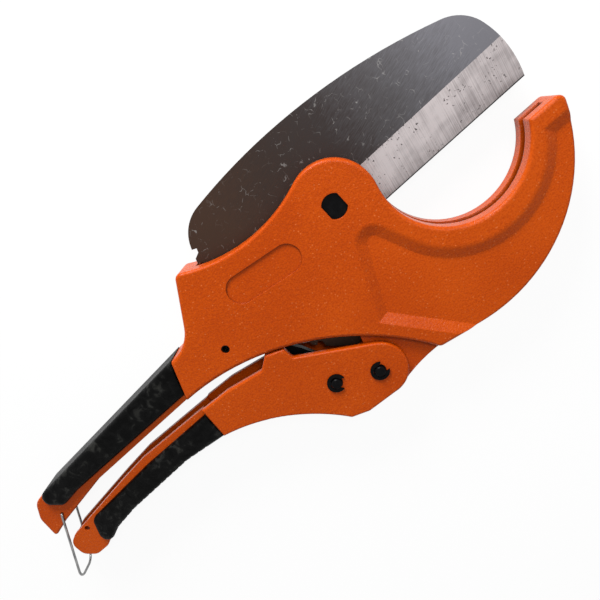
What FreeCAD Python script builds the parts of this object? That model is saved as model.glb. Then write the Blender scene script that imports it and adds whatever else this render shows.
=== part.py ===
"""Ratcheting pipe cutter for plastic pipe: slotted cast jaw, toothed blade, pawl drive and wire lock.

The tool lies flat on its rear side. The XY plane is the plane of the tool, +Z points to its front
face, +X along the tool towards the jaw. The origin is on the blade's pivot axis, in the rear face.
The blade stands half open and the handles are squeezed together. Lengths are in millimetres.
"""
import FreeCAD, Part
import math
import os
import Sketcher

doc = FreeCAD.newDocument("PipeCutter")

# ---------------------------------------------------------------- driving dimensions
SIZES = [
    ("bodyThickness", 25.0, "casting, rear face to front face"),
    ("edgeRound", 1.8, "rounding of the casting's outline"),
    ("hubRadius", 23.5, "casting round the blade pivot"),
    ("cradleRadius", 39.0, "seat of the pipe in the jaw"),
    ("cradleAngle", -15.6, "direction of the seat's centre from the pivot"),
    ("jawTipDrop", 32.5, "flat end of the jaw below the pivot"),
    ("jawBackRadius", 88.0, "back of the jaw"),
    ("jawBackX", 30.0, "centre of the jaw's back, along the tool"),
    ("jawBackDrop", 12.0, "centre of the jaw's back, below the pivot"),
    ("soleAngle", -99.6, "where the jaw's back runs out into the straight sole"),
    ("crownX", -85.0, "top corner of the casting, along the tool"),
    ("crownY", 30.4, "top corner of the casting, above the pivot"),
    ("saddleRadius", 88.0, "hollow between the top corner and the hub"),
    ("bellyRadius", 143.5, "hollow along the casting's lower edge"),
    ("bellyX", -131.9, "centre of that hollow, along the tool"),
    ("bellyTopDrop", 24.5, "highest point of that hollow, below the pivot"),
    ("rootRun", 10.0, "top of the handle's root, from the highest point of that hollow, along the tool"),
    ("rootRise", 22.0, "top of the handle's root above that point"),
    ("elbowRun", 13.0, "bend between the root and the top corner, from the top of the root"),
    ("elbowRise", 0.7, "that bend above the top of the root"),
    ("elbowRound", 22.0, "rounding of that bend"),
    ("cornerRound", 3.5, "corners of the casting"),
    ("rimWidth", 4.9, "raised rim round the pipe seat"),
    ("rimBack", 1.6, "centre of the rim behind the centre of the seat"),
    ("rimDrop", 6.2, "centre of the rim below the centre of the seat"),
    ("shoulderRadius", 9.3, "round upper end of the jaw's side panel"),
    ("shoulderAngle", 184.3, "direction of that round's centre from the centre of the rim"),
    ("shoulderGap", 3.2, "between that round and the rim"),
    ("recessEndDrop", 8.2, "upper end of the side panel below the flat end of the jaw"),
    ("flangeX", -24.2, "rear corner of the side panel, along the tool"),
    ("flangeDrop", 61.6, "rear corner of the side panel, below the pivot"),
    ("flangeRun", 11.0, "flange's edge behind the start of the sole"),
    ("flangeRise", 2.0, "flange's edge above the start of the sole"),
    ("recessDepth", 2.6, "step from the rim down to the jaw's side panel"),
    ("recessSlope", 6.0, "width of the slope down that step"),
    ("recessRound", 5.0, "rounding along the top of that slope"),
    ("panelX", -36.0, "front end of the racetrack panel, along the tool"),
    ("panelDrop", 3.3, "front end of the racetrack panel, below the pivot"),
    ("panelAngle", 171.3, "direction of the racetrack panel, from its front end"),
    ("panelLength", 29.2, "bare racetrack panel, between its end centres"),
    ("panelRadius", 7.9, "ends of the racetrack panel"),
    ("panelDepth", 0.9, "depth of the racetrack panel"),
    ("slotWidth", 6.0, "slot for blade and pawl"),
    ("slotPlay", 0.8, "room between the blade's path and the end of the slot"),
    ("slotSeatAngle", 2.0, "slot past the line from the pivot to the centre of the pipe seat"),
    ("slotRearAngle", 130.0, "rear end of the slot's mouth, direction from the pivot"),
    ("toothPlay", 1.5, "room between the teeth and the end of the slot"),
    ("pawlRoom", 21.5, "depth of the pawl's room beyond the teeth"),
    ("pawlRoomLead", 10.0, "angle of that room before the pawl's tip"),
    ("pawlRoomSweep", 25.0, "angle of that room's round floor behind the pawl's tip"),
    ("pawlRoomEnd", 35.0, "angle of that room's end behind the pawl's tip"),
    ("bladeThickness", 3.0, "blade plate"),
    ("bladeOpening", 44.0, "turn of the blade from the modelled pose to fully open"),
    ("bladeClosing", 37.0, "turn of the blade from the modelled pose to fully shut"),
    ("edgeDrop", 17.2, "cutting edge below the pivot"),
    ("bevelWidth", 22.4, "ground bevel, measured from the edge"),
    ("edgeLand", 0.4, "thickness left at the cutting edge"),
    ("bladeBackRadius", 331.8, "long back of the blade"),
    ("bladeBackX", -15.3, "centre of the long back, along the tool"),
    ("bladeNoseRadius", 22.7, "upper round of the blade's nose"),
    ("bladeNoseX", 87.6, "centre of that round, along the tool"),
    ("bladeBackTop", 49.1, "highest point of the back above the pivot"),
    ("bladeFaceRadius", 57.0, "front of the blade's nose"),
    ("bladeFaceAngle", 197.0, "direction of the front's centre from the centre of the nose"),
    ("bladeTailRadius", 22.1, "round at the rear of the blade's back"),
    ("bevelStart", 19.0, "inner end of the bevel, along the blade"),
    ("toothTipRadius", 79.0, "tips of the ratchet teeth"),
    ("toothDepth", 2.7, "depth of the ratchet teeth"),
    ("toothPitch", 6.0, "angle from tooth to tooth"),
    ("toothCount", 12, "ratchet teeth"),
    ("toothRoot", 0.3, "root of a tooth, as a share of its pitch"),
    ("toothFlank", 0.62, "end of a tooth's flank, as a share of its pitch"),
    ("toothLead", 1.3, "angle of the plain edge before the first tooth"),
    ("tailRun", 12.6, "angle of the plain tail after the last tooth"),
    ("bladeHeelX", 12.0, "inner end of the cutting edge, along the tool"),
    ("boltDiameter", 13.4, "double-D bolt at the blade pivot"),
    ("boltFlats", 10.6, "across the flats of the double-D"),
    ("boltRecess", 2.0, "end of the bolt below the front face"),
    ("journalPlay", 0.06, "running clearance of pins, on the diameter"),
    ("seatPlay", 0.04, "clearance of pins and bolts that don't turn in their seats, on the diameter"),
    ("headPlay", 0.6, "clearance of the pivot screw's head in its seat, on the diameter"),
    ("bushWall", 2.0, "wall of the blade's bush"),
    ("washerThickness", 1.2, "thrust washers"),
    ("washerDiameter", 25.0, "thrust washers, outside"),
    ("screwHeadDiameter", 15.0, "head of the pivot screw"),
    ("screwHeadHeight", 4.0, "head of the pivot screw"),
    ("screwDiameter", 6.0, "shank of the pivot screw"),
    ("screwLength", 10.8, "shank of the pivot screw"),
    ("screwChamfer", 0.8, "edges of the pivot screw"),
    ("spannerRadius", 4.8, "spanner holes in the screw's head, from its centre"),
    ("spannerHole", 1.8, "spanner holes in the screw's head"),
    ("spannerAngle", 45.0, "direction of the spanner holes from the screw's centre"),
    ("handlePinX", -41.5, "handle pivot, along the tool"),
    ("handlePinDrop", 83.0, "handle pivot, below the blade pivot"),
    ("tongueThickness", 15.0, "tongue that carries the handle"),
    ("tongueRadius", 16.6, "round end of the tongue"),
    ("tongueTopAngle", 80.0, "top of the tongue's round end, direction from the handle pivot"),
    ("tongueFillet", 87.0, "hollow under the tongue"),
    ("tongueToe", 3.0, "foot of the tongue on the sole, from the casting's heel"),
    ("springRoom", 10.3, "room for the handle spring in the tongue, from the pin"),
    ("springRoomEnd", 21.6, "open end of that room, behind the pin"),
    ("cheekPlay", 0.5, "room between the tongue and each cheek"),
    ("cheekThickness", 4.0, "cheeks of the moving handle"),
    ("cheekRadius", 15.9, "cheeks round the handle pivot"),
    ("cheekFootAngle", 262.0, "lower end of that round, direction from the handle pivot"),
    ("stopGap", 0.9, "gap left at the stop when the handles are squeezed"),
    ("stopStart", 30.2, "front end of the stop, behind the handle pivot"),
    ("stopLength", 10.3, "length of the stop, along the tool"),
    ("stopStep", 6.8, "step in front of the stop"),
    ("stopFootRun", 7.5, "foot behind the stop, along the tool"),
    ("stopFootDrop", 5.3, "foot behind the stop, below it"),
    ("cheekBackRun", 19.0, "end of the cheeks' straight back in front of the grip"),
    ("cheekBackDrop", 11.0, "end of that back below the casting's hollow"),
    ("chinRun", 20.2, "chin of the cheeks, behind the handle pivot"),
    ("chinRise", 0.9, "chin above the lowest point of the cheeks"),
    ("cheekCorner", 2.5, "corners of the cheeks"),
    ("cheekEdge", 1.2, "edges of the cheeks"),
    ("handlePinDiameter", 7.0, "handle and pawl pins"),
    ("pinHeadDiameter", 11.0, "rear heads of both pins"),
    ("pinHeadHeight", 1.4, "rear heads of both pins"),
    ("pinHeadChamfer", 0.4, "edges of those heads"),
    ("pinPlay", 0.05, "play beside the heads and the clips of both pins"),
    ("pinChamfer", 0.5, "front ends of both pins"),
    ("pinEnd", 2.4, "pin end proud of the front cheek"),
    ("clipDiameter", 10.6, "E-clips, outside"),
    ("clipThickness", 1.0, "E-clips"),
    ("clipRelief", 0.75, "hollows between the tongues of the clips"),
    ("clipMouth", 38.0, "outer corner of the clips' mouth, from the middle of the mouth"),
    ("clipTongue", 58.0, "first tongue of the clips, from the middle of the mouth"),
    ("clipTongueEnd", 85.0, "end of that tongue"),
    ("clipHollow", 92.0, "first hollow of the clips, from the middle of the mouth"),
    ("clipHollowEnd", 162.0, "end of that hollow"),
    ("clipBack", 167.0, "tongue opposite the mouth, from the middle of the mouth"),
    ("handleClipTurn", 10.0, "direction of the mouth of the handle pin's clip"),
    ("pawlClipTurn", -40.0, "direction of the mouth of the pawl pin's clip"),
    ("pinNose", 5.8, "pin ends in front of the clips"),
    ("grooveDiameter", 5.6, "grooves for the clips"),
    ("pawlPinX", -63.8, "pawl pin, along the tool"),
    ("pawlPinDrop", 72.5, "pawl pin, below the blade pivot"),
    ("pawlThickness", 4.0, "pawl plate"),
    ("pawlBossRadius", 8.3, "pawl round its pin"),
    ("pawlTipAngle", 187.0, "direction of the pawl's tip from the blade pivot"),
    ("pawlTipGap", 0.4, "pawl tip clear of the tooth tips"),
    ("pawlWidth", 6.4, "arm of the pawl beside the teeth"),
    ("pawlBeak", 2.4, "beak of the pawl inside its arm"),
    ("pawlBeakAngle", 2.6, "inner side of the beak behind the pawl's tip"),
    ("pawlNoseAngle", 1.0, "nose of the beak on either side of the pawl's tip"),
    ("pawlArmAngle", 28.0, "inner end of the pawl's arm behind its tip"),
    ("pawlBackAngle", 21.0, "outer end of the pawl's arm behind its tip"),
    ("spacerDiameter", 12.0, "spacers beside the pawl"),
    ("sidePlay", 0.1, "play beside washers and spacers"),
    ("anchorGap", 17.24931, "spring anchor pin beyond the tooth tips"),
    ("anchorAngle", 190.29420, "direction of the spring anchor pin from the blade pivot"),
    ("anchorDiameter", 4.7, "hole of the spring anchor pin"),
    ("anchorPlay", 0.02, "clearance of the anchor pin, on the diameter"),
    ("anchorWall", 0.32, "wall of the rolled anchor pin, as a share of its radius"),
    ("anchorSlit", 10.0, "half of the angle of its slit, outside"),
    ("anchorSlitInside", 14.0, "half of the angle of its slit, inside"),
    ("anchorRecess", 1.2, "ends of the anchor pin below the faces"),
    ("springWire", 1.2, "wire of both springs"),
    ("springTurns", 2, "full turns of both springs"),
    ("springPitch", 1.08, "pitch of both springs, as a share of their wire"),
    ("coreWidth", 16.5, "both handle cores inside their grips"),
    ("coreWall", 3.2, "walls of the moving handle's channel"),
    ("coreEdge", 1.2, "edges of the fixed handle's bare end"),
    ("coreTopRise", 14.2, "top of the fixed handle's end above the casting's hollow"),
    ("coreTopRun", 9.0, "top of that end, in front of its rearmost point"),
    ("coreEndRise", 4.5, "upper corner of that end above the casting's hollow"),
    ("coreEndRun", 2.0, "upper corner of that end, in front of its rearmost point"),
    ("coreEndDrop", 10.0, "lowest point of that end below the casting's hollow"),
    ("coreEndCorner", 1.6, "rounding of that lowest point"),
    ("coreHeelDrop", 6.5, "heel of the fixed handle below the casting's hollow"),
    ("coreWaistRun", 36.0, "waist of the fixed handle, in front of the lock's eye"),
    ("coreWaistDrop", 0.6, "waist of the fixed handle below the casting's hollow"),
    ("gripCover", 3.0, "rubber over the outer edge of each core"),
    ("gripRound", 3.0, "rounding of the grips"),
    ("gripStand", 0.6, "front end of the fixed handle's grip proud of the casting"),
    ("upperTopRun", 7.5, "upper rear corner of the fixed handle's grip, from the top of its core's end"),
    ("upperEndRun", 13.5, "rear corner of that grip, in front of the upper corner of the core's end"),
    ("upperEndRise", 4.0, "that corner above the corner of the core's end"),
    ("upperFootRun", 7.5, "lower rear corner of that grip, in front of the lock's eye"),
    ("upperLipRun", 13.5, "start of that grip's straight inner edge, in front of its lower rear corner"),
    ("lowerTopRun", 24.6, "upper rear corner of the moving handle's grip, from the handle's end"),
    ("lowerEndRun", 19.5, "rear corner of that grip, from the handle's end"),
    ("lowerLipRun", 27.0, "start of that grip's straight inner edge, in front of the core's waist"),
    ("gripLip", 3.2, "core left bare along the inner edge of each handle"),
    ("ribCount", 17, "finger ribs of the moving handle's grip"),
    ("ribStart", 7.0, "first finger rib, from the rear corner of the grip"),
    ("ribEnd", 13.2, "last finger rib, from the front of the grip"),
    ("ribRadius", 1.5, "grooves between the finger ribs"),
    ("ribSink", 0.45, "centres of those grooves outside the grip, as a share of their radius"),
    ("fixedEndRound", 8.0, "rounded end of the fixed handle"),
    ("coreEndRound", 6.0, "rounded end of the moving handle"),
    ("gripEndRound", 4.5, "rounded ends of both grips"),
    ("lapRadius", 104.9, "lower edge of the moving handle beside its pivot"),
    ("lapDrop", 11.3, "front end of that edge below the handle pivot"),
    ("neckDepth", 19.6, "moving handle where its grip begins"),
    ("neckLean", 2.0, "slant of the cheeks' rear end"),
    ("neckStart", 0.9, "top of the cheeks' rear end, in front of the middle of the casting's hollow"),
    ("handleGap", 10.1, "inner edge of the moving handle below the casting's hollow"),
    ("fixedLength", 127.5, "fixed handle, from the casting's hollow to its rearmost point"),
    ("movingLength", 125.5, "moving handle, from the front of its grip to its end"),
    ("movingEndDrop", 44.5, "upper corner of the moving handle's end, below the blade pivot"),
    ("movingEndHeight", 9.7, "end face of the moving handle"),
    ("movingHeelRun", 6.5, "rear corner of its heel, from its end"),
    ("backCrestRun", 49.0, "crest of its inner edge, from the front of its grip"),
    ("backCrestRise", 1.2, "that crest above the front of the inner edge"),
    ("backBendRun", 70.0, "bend of its inner edge, from the front of its grip"),
    ("backBendDrop", 0.8, "that bend below the front of the inner edge"),
    ("endTopRun", 6.6, "rear end of its inner edge, from its end"),
    ("endTopRise", 3.1, "rear end of its inner edge above the upper corner of the end"),
    ("palmHeelRun", 16.5, "heel of the moving handle's core, from its end"),
    ("palmHeelDrop", 15.6, "heel of that core below its end corner"),
    ("palmHollowRun", 31.6, "hollow of that core, from its end"),
    ("palmHollowDrop", 7.5, "hollow of that core below its end corner"),
    ("palmWaistRun", 49.1, "waist of that core, from its end"),
    ("palmWaistDrop", 5.1, "waist of that core below its end corner"),
    ("palmFrontRun", 96.1, "front of that core, from its end"),
    ("palmFrontDrop", 3.7, "front of that core below its end corner"),
    ("bailHoleRun", 15.5, "eye of the wire lock in front of the fixed handle's rearmost point"),
    ("bailHoleDrop", 1.8, "eye of the wire lock below the casting's hollow"),
    ("bailWire", 1.5, "wire of the lock"),
    ("wirePlay", 0.3, "clearance of that wire in its eye and beside the handle"),
    ("bailLength", 47.4, "lock, from its eye to its closed end"),
    ("bailAngle", 235.6, "direction in which the lock hangs"),
    ("bailBend", 1.0, "bends beside the lock's eye"),
    ("bailNose", 5.8, "bends at the lock's closed end"),
    ("lanyardRun", 15.8, "hole in the end of the moving handle, from its end"),
    ("lanyardRise", 1.1, "that hole above the upper corner of the end"),
    ("lanyardDiameter", 3.2, "that hole"),
    ("anchorLeg", 6.5, "legs of the pawl spring"),
    ("handleLeg", 12.5, "longer leg of the handle spring"),
    ("pawlLeg", 4.2, "shorter leg of the handle spring"),
    ("pawlSpringAngle", 235.0, "direction of the pawl spring's rear leg"),
    ("pawlSpringEnd", 55.0, "direction of the pawl spring's front leg"),
    ("handleSpringAngle", 200.0, "direction of the handle spring's longer leg"),
    ("handleSpringEnd", 60.0, "direction of the handle spring's shorter leg"),
]
sheet = doc.addObject("Spreadsheet::Sheet", "Sizes")
for row, (alias, value, note) in enumerate(SIZES, 1):
    sheet.set(f"A{row}", note)
    sheet.set(f"B{row}", str(value))
    sheet.setAlias(f"B{row}", alias)
doc.recompute()


def size(alias):
    """Value of one driving dimension."""
    return float(sheet.get(alias))


# ---------------------------------------------------------------- plane geometry
def polar(centre, radius, angle):
    """Point at a radius and an angle in degrees from a centre."""
    turn = math.radians(angle)
    return centre[0] + radius * math.cos(turn), centre[1] + radius * math.sin(turn)


def bearing(centre, point):
    """Angle in degrees at which a point is seen from a centre."""
    return math.degrees(math.atan2(point[1] - centre[1], point[0] - centre[0]))


def towards(start, end, length):
    """Point at a length from the start on the way to the end."""
    span = math.dist(start, end)
    return tuple(a + (b - a) * length / span for a, b in zip(start, end))


def circles_meet(first, first_radius, second, second_radius, side):
    """Meeting point of two circles, left (+1) or right (-1) of the line from first to second."""
    span = math.dist(first, second)
    along = (first_radius ** 2 - second_radius ** 2 + span ** 2) / (2 * span)
    across = side * math.sqrt(first_radius ** 2 - along ** 2)
    unit = ((second[0] - first[0]) / span, (second[1] - first[1]) / span)
    return (first[0] + along * unit[0] - across * unit[1], first[1] + along * unit[1] + across * unit[0])


def ray_meets_circle(start, angle, centre, radius, far=False):
    """Where a ray from the start meets a circle: the first meeting point, or the far one."""
    unit = (math.cos(math.radians(angle)), math.sin(math.radians(angle)))
    offset = (start[0] - centre[0], start[1] - centre[1])
    half = offset[0] * unit[0] + offset[1] * unit[1]
    root = math.sqrt(half ** 2 - (math.dist(start, centre) ** 2 - radius ** 2))
    length = -half + (root if far else -root)
    return start[0] + length * unit[0], start[1] + length * unit[1]


def on_circle(centre, radius, x):
    """Upper point of a circle at a given x."""
    return x, centre[1] + math.sqrt(radius ** 2 - (x - centre[0]) ** 2)


def touch_point(centre, radius, point, side):
    """Where a line from a point touches a circle, on the side of the centre that is asked for."""
    opening = math.degrees(math.acos(radius / math.dist(centre, point)))
    return polar(centre, radius, bearing(centre, point) + side * opening)


def lines_meet(first, first_angle, second, second_angle):
    """Meeting point of two lines, each given by a point and an angle."""
    a = (math.cos(math.radians(first_angle)), math.sin(math.radians(first_angle)))
    b = (math.cos(math.radians(second_angle)), math.sin(math.radians(second_angle)))
    gap = (second[0] - first[0], second[1] - first[1])
    length = (gap[0] * b[1] - gap[1] * b[0]) / (a[0] * b[1] - a[1] * b[0])
    return first[0] + length * a[0], first[1] + length * a[1]


def widest_round(before, corner, after):
    """Largest rounding that a corner takes when it uses up four fifths of the shorter of its two sides."""
    turn = math.radians(bearing(before, corner) - bearing(corner, after))
    return 0.8 * min(math.dist(before, corner), math.dist(corner, after)) / abs(math.tan(turn / 2))


class Outline:
    """A closed outline of straight and round stretches."""

    def __init__(self, start):
        self.start = start
        self.point = start
        self.stretches = []

    def line(self, *points):
        for point in points:
            self.stretches.append((Part.LineSegment(vector(self.point), vector(point)), True))
            self.point = point
        return self

    def arc(self, centre, end, clockwise=False):
        first, last = (end, self.point) if clockwise else (self.point, end)
        ring = Part.Circle(vector(centre), FreeCAD.Vector(0, 0, 1), math.dist(centre, self.point))
        start_angle = math.radians(bearing(centre, first))
        sweep = (math.radians(bearing(centre, last)) - start_angle) % (2 * math.pi)
        self.stretches.append((Part.ArcOfCircle(ring, start_angle, start_angle + sweep), not clockwise))
        self.point = end
        return self

    def close(self):
        if math.dist(self.point, self.start) > 1e-6:
            self.line(self.start)
        return self


def vector(point, z=0.0):
    """FreeCAD vector of a point in the plane of the tool."""
    return FreeCAD.Vector(point[0], point[1], z)


def circle(centre, radius):
    """Closed outline of one circle."""
    outline = Outline(polar(centre, radius, 0))
    outline.arc(centre, polar(centre, radius, 180))
    return outline.arc(centre, polar(centre, radius, 0))


# ---------------------------------------------------------------- document helpers
def new_body(label):
    """Empty PartDesign body that becomes one sub-part."""
    body = doc.addObject("PartDesign::Body", label)
    body.Label = label
    return body


def base_plane(body, role="XY_Plane"):
    """One of the body's own origin planes."""
    return next(item for item in body.Origin.OriginFeatures if item.Role == role)


def new_sketch(body, name, height="0", role="XY_Plane"):
    """Sketch parallel to an origin plane, at a height bound to the sheet."""
    sketch = body.newObject("Sketcher::SketchObject", name)
    sketch.AttachmentSupport = [(base_plane(body, role), "")]
    sketch.MapMode = "FlatFace"
    sketch.setExpression("AttachmentOffset.Base.z", height)
    return sketch


def draw(sketch, outline):
    """Draw an outline in a sketch, its stretches joined end to end."""
    outline.close()
    first = sketch.GeometryCount
    count = len(outline.stretches)
    for geometry, forward in outline.stretches:
        sketch.addGeometry(geometry, False)
    for index in range(count):
        following = (index + 1) % count
        leave = 2 if outline.stretches[index][1] else 1
        enter = 1 if outline.stretches[following][1] else 2
        joint = Sketcher.Constraint("Coincident", first + index, leave, first + following, enter)
        sketch.addConstraint(joint)


def pad(body, name, outline, length, height="0"):
    """Pad of an outline from a height upwards, both bound to the sheet."""
    sketch = new_sketch(body, name + "Sketch", height)
    draw(sketch, outline)
    feature = body.newObject("PartDesign::Pad", name)
    feature.Profile = sketch
    feature.setExpression("Length", length)
    sketch.Visibility = False
    return feature


def pocket(body, name, outlines, length, height, upwards=False):
    """Pocket of outlines from a height downwards, or upwards."""
    sketch = new_sketch(body, name + "Sketch", height)
    for outline in outlines:
        draw(sketch, outline)
    feature = body.newObject("PartDesign::Pocket", name)
    feature.Profile = sketch
    feature.Reversed = upwards
    feature.setExpression("Length", length)
    sketch.Visibility = False
    return feature


def bore(body, name, centre, diameter, length, height, upwards=False):
    """Round pocket whose diameter is bound to the sheet."""
    sketch = new_sketch(body, name + "Sketch", height)
    index = sketch.addGeometry(Part.Circle(vector(centre), FreeCAD.Vector(0, 0, 1), 1.0), False)
    sketch.addConstraint(Sketcher.Constraint("DistanceX", index, 3, centre[0]))
    sketch.addConstraint(Sketcher.Constraint("DistanceY", index, 3, centre[1]))
    sketch.addConstraint(Sketcher.Constraint("Diameter", index, 2.0))
    sketch.setExpression("Constraints[2]", diameter)
    feature = body.newObject("PartDesign::Pocket", name)
    feature.Profile = sketch
    feature.Reversed = upwards
    feature.setExpression("Length", length)
    sketch.Visibility = False
    return feature


def upright_edges(feature, points):
    """Names of the edges along Z that stand at the given points."""
    names = []
    for number, edge in enumerate(feature.Shape.Edges, 1):
        ends = [vertex.Point for vertex in edge.Vertexes]
        if len(ends) != 2 or edge.BoundBox.ZLength < 1.0:
            continue
        low, high = ends[0][:2], ends[1][:2]
        if math.dist(low, high) < 1e-4 and any(math.dist(low, point) < 0.05 for point in points):
            names.append(f"Edge{number}")
    return names


def flat_edges(feature, heights, keep=lambda edge: True):
    """Names of the edges that lie wholly at one of the given heights."""
    names = []
    for number, edge in enumerate(feature.Shape.Edges, 1):
        box = edge.BoundBox
        if box.ZLength < 1e-4 and any(abs(box.ZMin - height) < 1e-3 for height in heights) and keep(edge):
            names.append(f"Edge{number}")
    return names


def fillet(body, name, base, edges, radius):
    """Fillet of chosen edges of the last feature."""
    doc.recompute()
    feature = body.newObject("PartDesign::Fillet", name)
    feature.Refine = False
    feature.Base = (base, edges(base) if callable(edges) else edges)
    feature.setExpression("Radius", radius)
    doc.recompute()
    return feature


def revolve(body, name, profile):
    """Solid of revolution about Z from (radius, height) corners."""
    sketch = new_sketch(body, name + "Sketch", "0", "XZ_Plane")
    draw(sketch, Outline(profile[0]).line(*profile[1:]))
    feature = body.newObject("PartDesign::Revolution", name)
    feature.Profile = sketch
    feature.ReferenceAxis = (sketch, ["V_Axis"])
    feature.Angle = 360
    sketch.Visibility = False
    return feature


def finish(body):
    """Compute a body and keep it only when every feature of it is sound."""
    doc.recompute()
    for item in [body] + list(body.Group):
        if "Invalid" in item.State or "Error" in item.State:
            raise RuntimeError(f"{body.Label}: {item.Name} failed")
    return body


# ---------------------------------------------------------------- places shared by several sub-parts
PIVOT = (0.0, 0.0)
middle = size("bodyThickness") / 2
handle_pin = (size("handlePinX"), -size("handlePinDrop"))
pawl_pin = (size("pawlPinX"), -size("pawlPinDrop"))
anchor = polar(PIVOT, size("toothTipRadius") + size("anchorGap"), size("anchorAngle"))
belly_radius = size("bellyRadius")
belly_top = (size("bellyX"), -size("bellyTopDrop"))
belly = (belly_top[0], belly_top[1] - belly_radius)
fixed_end = belly_top[0] - size("fixedLength")
bail_eye = (fixed_end + size("bailHoleRun"), belly_top[1] - size("bailHoleDrop"))
hub_radius = size("hubRadius")
cradle_radius = size("cradleRadius")
cradle = polar(PIVOT, hub_radius + cradle_radius, size("cradleAngle"))
jaw = (size("jawBackX"), -size("jawBackDrop"))
jaw_radius = size("jawBackRadius")
tip_height = -size("jawTipDrop")
sole_start = polar(jaw, jaw_radius, size("soleAngle"))
heel = ray_meets_circle(sole_start, size("soleAngle") - 90, belly, belly_radius)
crown = (size("crownX"), size("crownY"))
root_top = (belly_top[0] + size("rootRun"), belly_top[1] + size("rootRise"))
elbow = (root_top[0] + size("elbowRun"), root_top[1] + size("elbowRise"))
rim_radius = cradle_radius + size("rimWidth")
rim = (cradle[0] - size("rimBack"), cradle[1] - size("rimDrop"))
shoulder_radius = size("shoulderRadius")
shoulder = polar(rim, rim_radius + size("shoulderGap") + shoulder_radius, size("shoulderAngle"))
FRONT = "Sizes.bodyThickness"
MIDDLE = "Sizes.bodyThickness / 2"
HANDLE_WIDTH = "(Sizes.tongueThickness + 2 * Sizes.cheekPlay + 2 * Sizes.cheekThickness)"
handle_width = size("tongueThickness") + 2 * size("cheekPlay") + 2 * size("cheekThickness")


# ---------------------------------------------------------------- frame casting
core_top = (fixed_end + size("coreTopRun"), belly_top[1] + size("coreTopRise"))
core_end = (fixed_end + size("coreEndRun"), belly_top[1] + size("coreEndRise"))
core_low = (fixed_end, belly_top[1] - size("coreEndDrop"))


def casting_outline():
    """Hub, pipe seat, jaw, sole, belly and root of the fixed handle."""
    saddle = circles_meet(PIVOT, hub_radius + size("saddleRadius"), crown, size("saddleRadius"), -1)
    tip_inner = (cradle[0] + math.sqrt(cradle_radius ** 2 - (tip_height - cradle[1]) ** 2), tip_height)
    tip_outer = (jaw[0] + math.sqrt(jaw_radius ** 2 - (tip_height - jaw[1]) ** 2), tip_height)
    outline = Outline(crown)
    outline.arc(saddle, polar(PIVOT, hub_radius, bearing(PIVOT, saddle)))
    outline.arc(PIVOT, polar(PIVOT, hub_radius, size("cradleAngle")), clockwise=True)
    outline.arc(cradle, tip_inner)
    outline.line(tip_outer)
    outline.arc(jaw, sole_start, clockwise=True)
    outline.line(heel)
    outline.arc(belly, belly_top)
    outline.line(root_top, elbow)
    return outline, tip_inner, tip_outer


def tongue_outline():
    """Tongue round the handle pin, run out into the casting."""
    radius = size("tongueRadius")
    toe = towards(heel, sole_start, size("tongueToe"))
    hollow = circles_meet(handle_pin, radius + size("tongueFillet"), toe, size("tongueFillet"), -1)
    top = polar(handle_pin, radius, size("tongueTopAngle"))
    outline = Outline(toe)
    outline.arc(hollow, polar(handle_pin, radius, bearing(handle_pin, hollow)))
    outline.arc(handle_pin, top, clockwise=True)
    inside = (sole_start[0] - radius, sole_start[1] + radius / 4)
    outline.line((top[0] + radius / 3, top[1] + radius), (inside[0], inside[1] + 2 * radius), inside)
    return outline


def fixed_core_outline():
    """Core of the fixed handle, from inside the casting's root to its bare end."""
    level = belly_top[1]
    inside = size("rootRun")
    outline = Outline((root_top[0] + inside, root_top[1] - inside / 3))
    heel_corner = (bail_eye[0] - size("coreEndRun"), level - size("coreHeelDrop"))
    waist = (bail_eye[0] + size("coreWaistRun"), level - size("coreWaistDrop"))
    outline.line(core_top, core_end, core_low, heel_corner, waist, belly_top)
    return outline.line((belly_top[0] + inside, level + inside / 3))


def slot_outline():
    """Path of the blade, from open to shut, and room for the pawl."""
    play = size("slotPlay")
    reach = blade_tip_radius + play
    inner = size("toothTipRadius") + size("toothPlay")
    outer = inner + size("pawlRoom")
    pawl_angle = size("pawlTipAngle")
    shut = -size("bladeClosing")
    shut_point = polar(PIVOT, size("edgeDrop") + play, shut - 90)
    open_side = tail_side + size("bladeOpening")
    open_heel = polar(PIVOT, math.dist(PIVOT, blade_heel), bearing(PIVOT, blade_heel) + size("bladeOpening"))
    open_point = polar(open_heel, play, open_side + 90)
    corner = lines_meet(shut_point, shut, open_point, open_side)
    jaw_end = ray_meets_circle(corner, shut, PIVOT, reach, far=True)
    tail_stop = ray_meets_circle(corner, open_side, PIVOT, inner, far=True)
    outline = Outline(corner).line(jaw_end)
    outline.arc(PIVOT, polar(PIVOT, reach, size("cradleAngle") + size("slotSeatAngle")))
    outline.line((cradle[0], hub_radius * 2), polar(PIVOT, inner, size("slotRearAngle")))
    room_start = pawl_angle - size("pawlRoomLead")
    room_end = pawl_angle + size("pawlRoomEnd")
    outline.arc(PIVOT, polar(PIVOT, inner, room_start))
    outline.line(polar(PIVOT, outer, room_start))
    outline.arc(PIVOT, polar(PIVOT, outer, pawl_angle + size("pawlRoomSweep")))
    outline.line(polar(PIVOT, outer * 1.1, room_end), polar(PIVOT, inner, room_end))
    outline.arc(PIVOT, tail_stop)
    return outline


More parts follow.
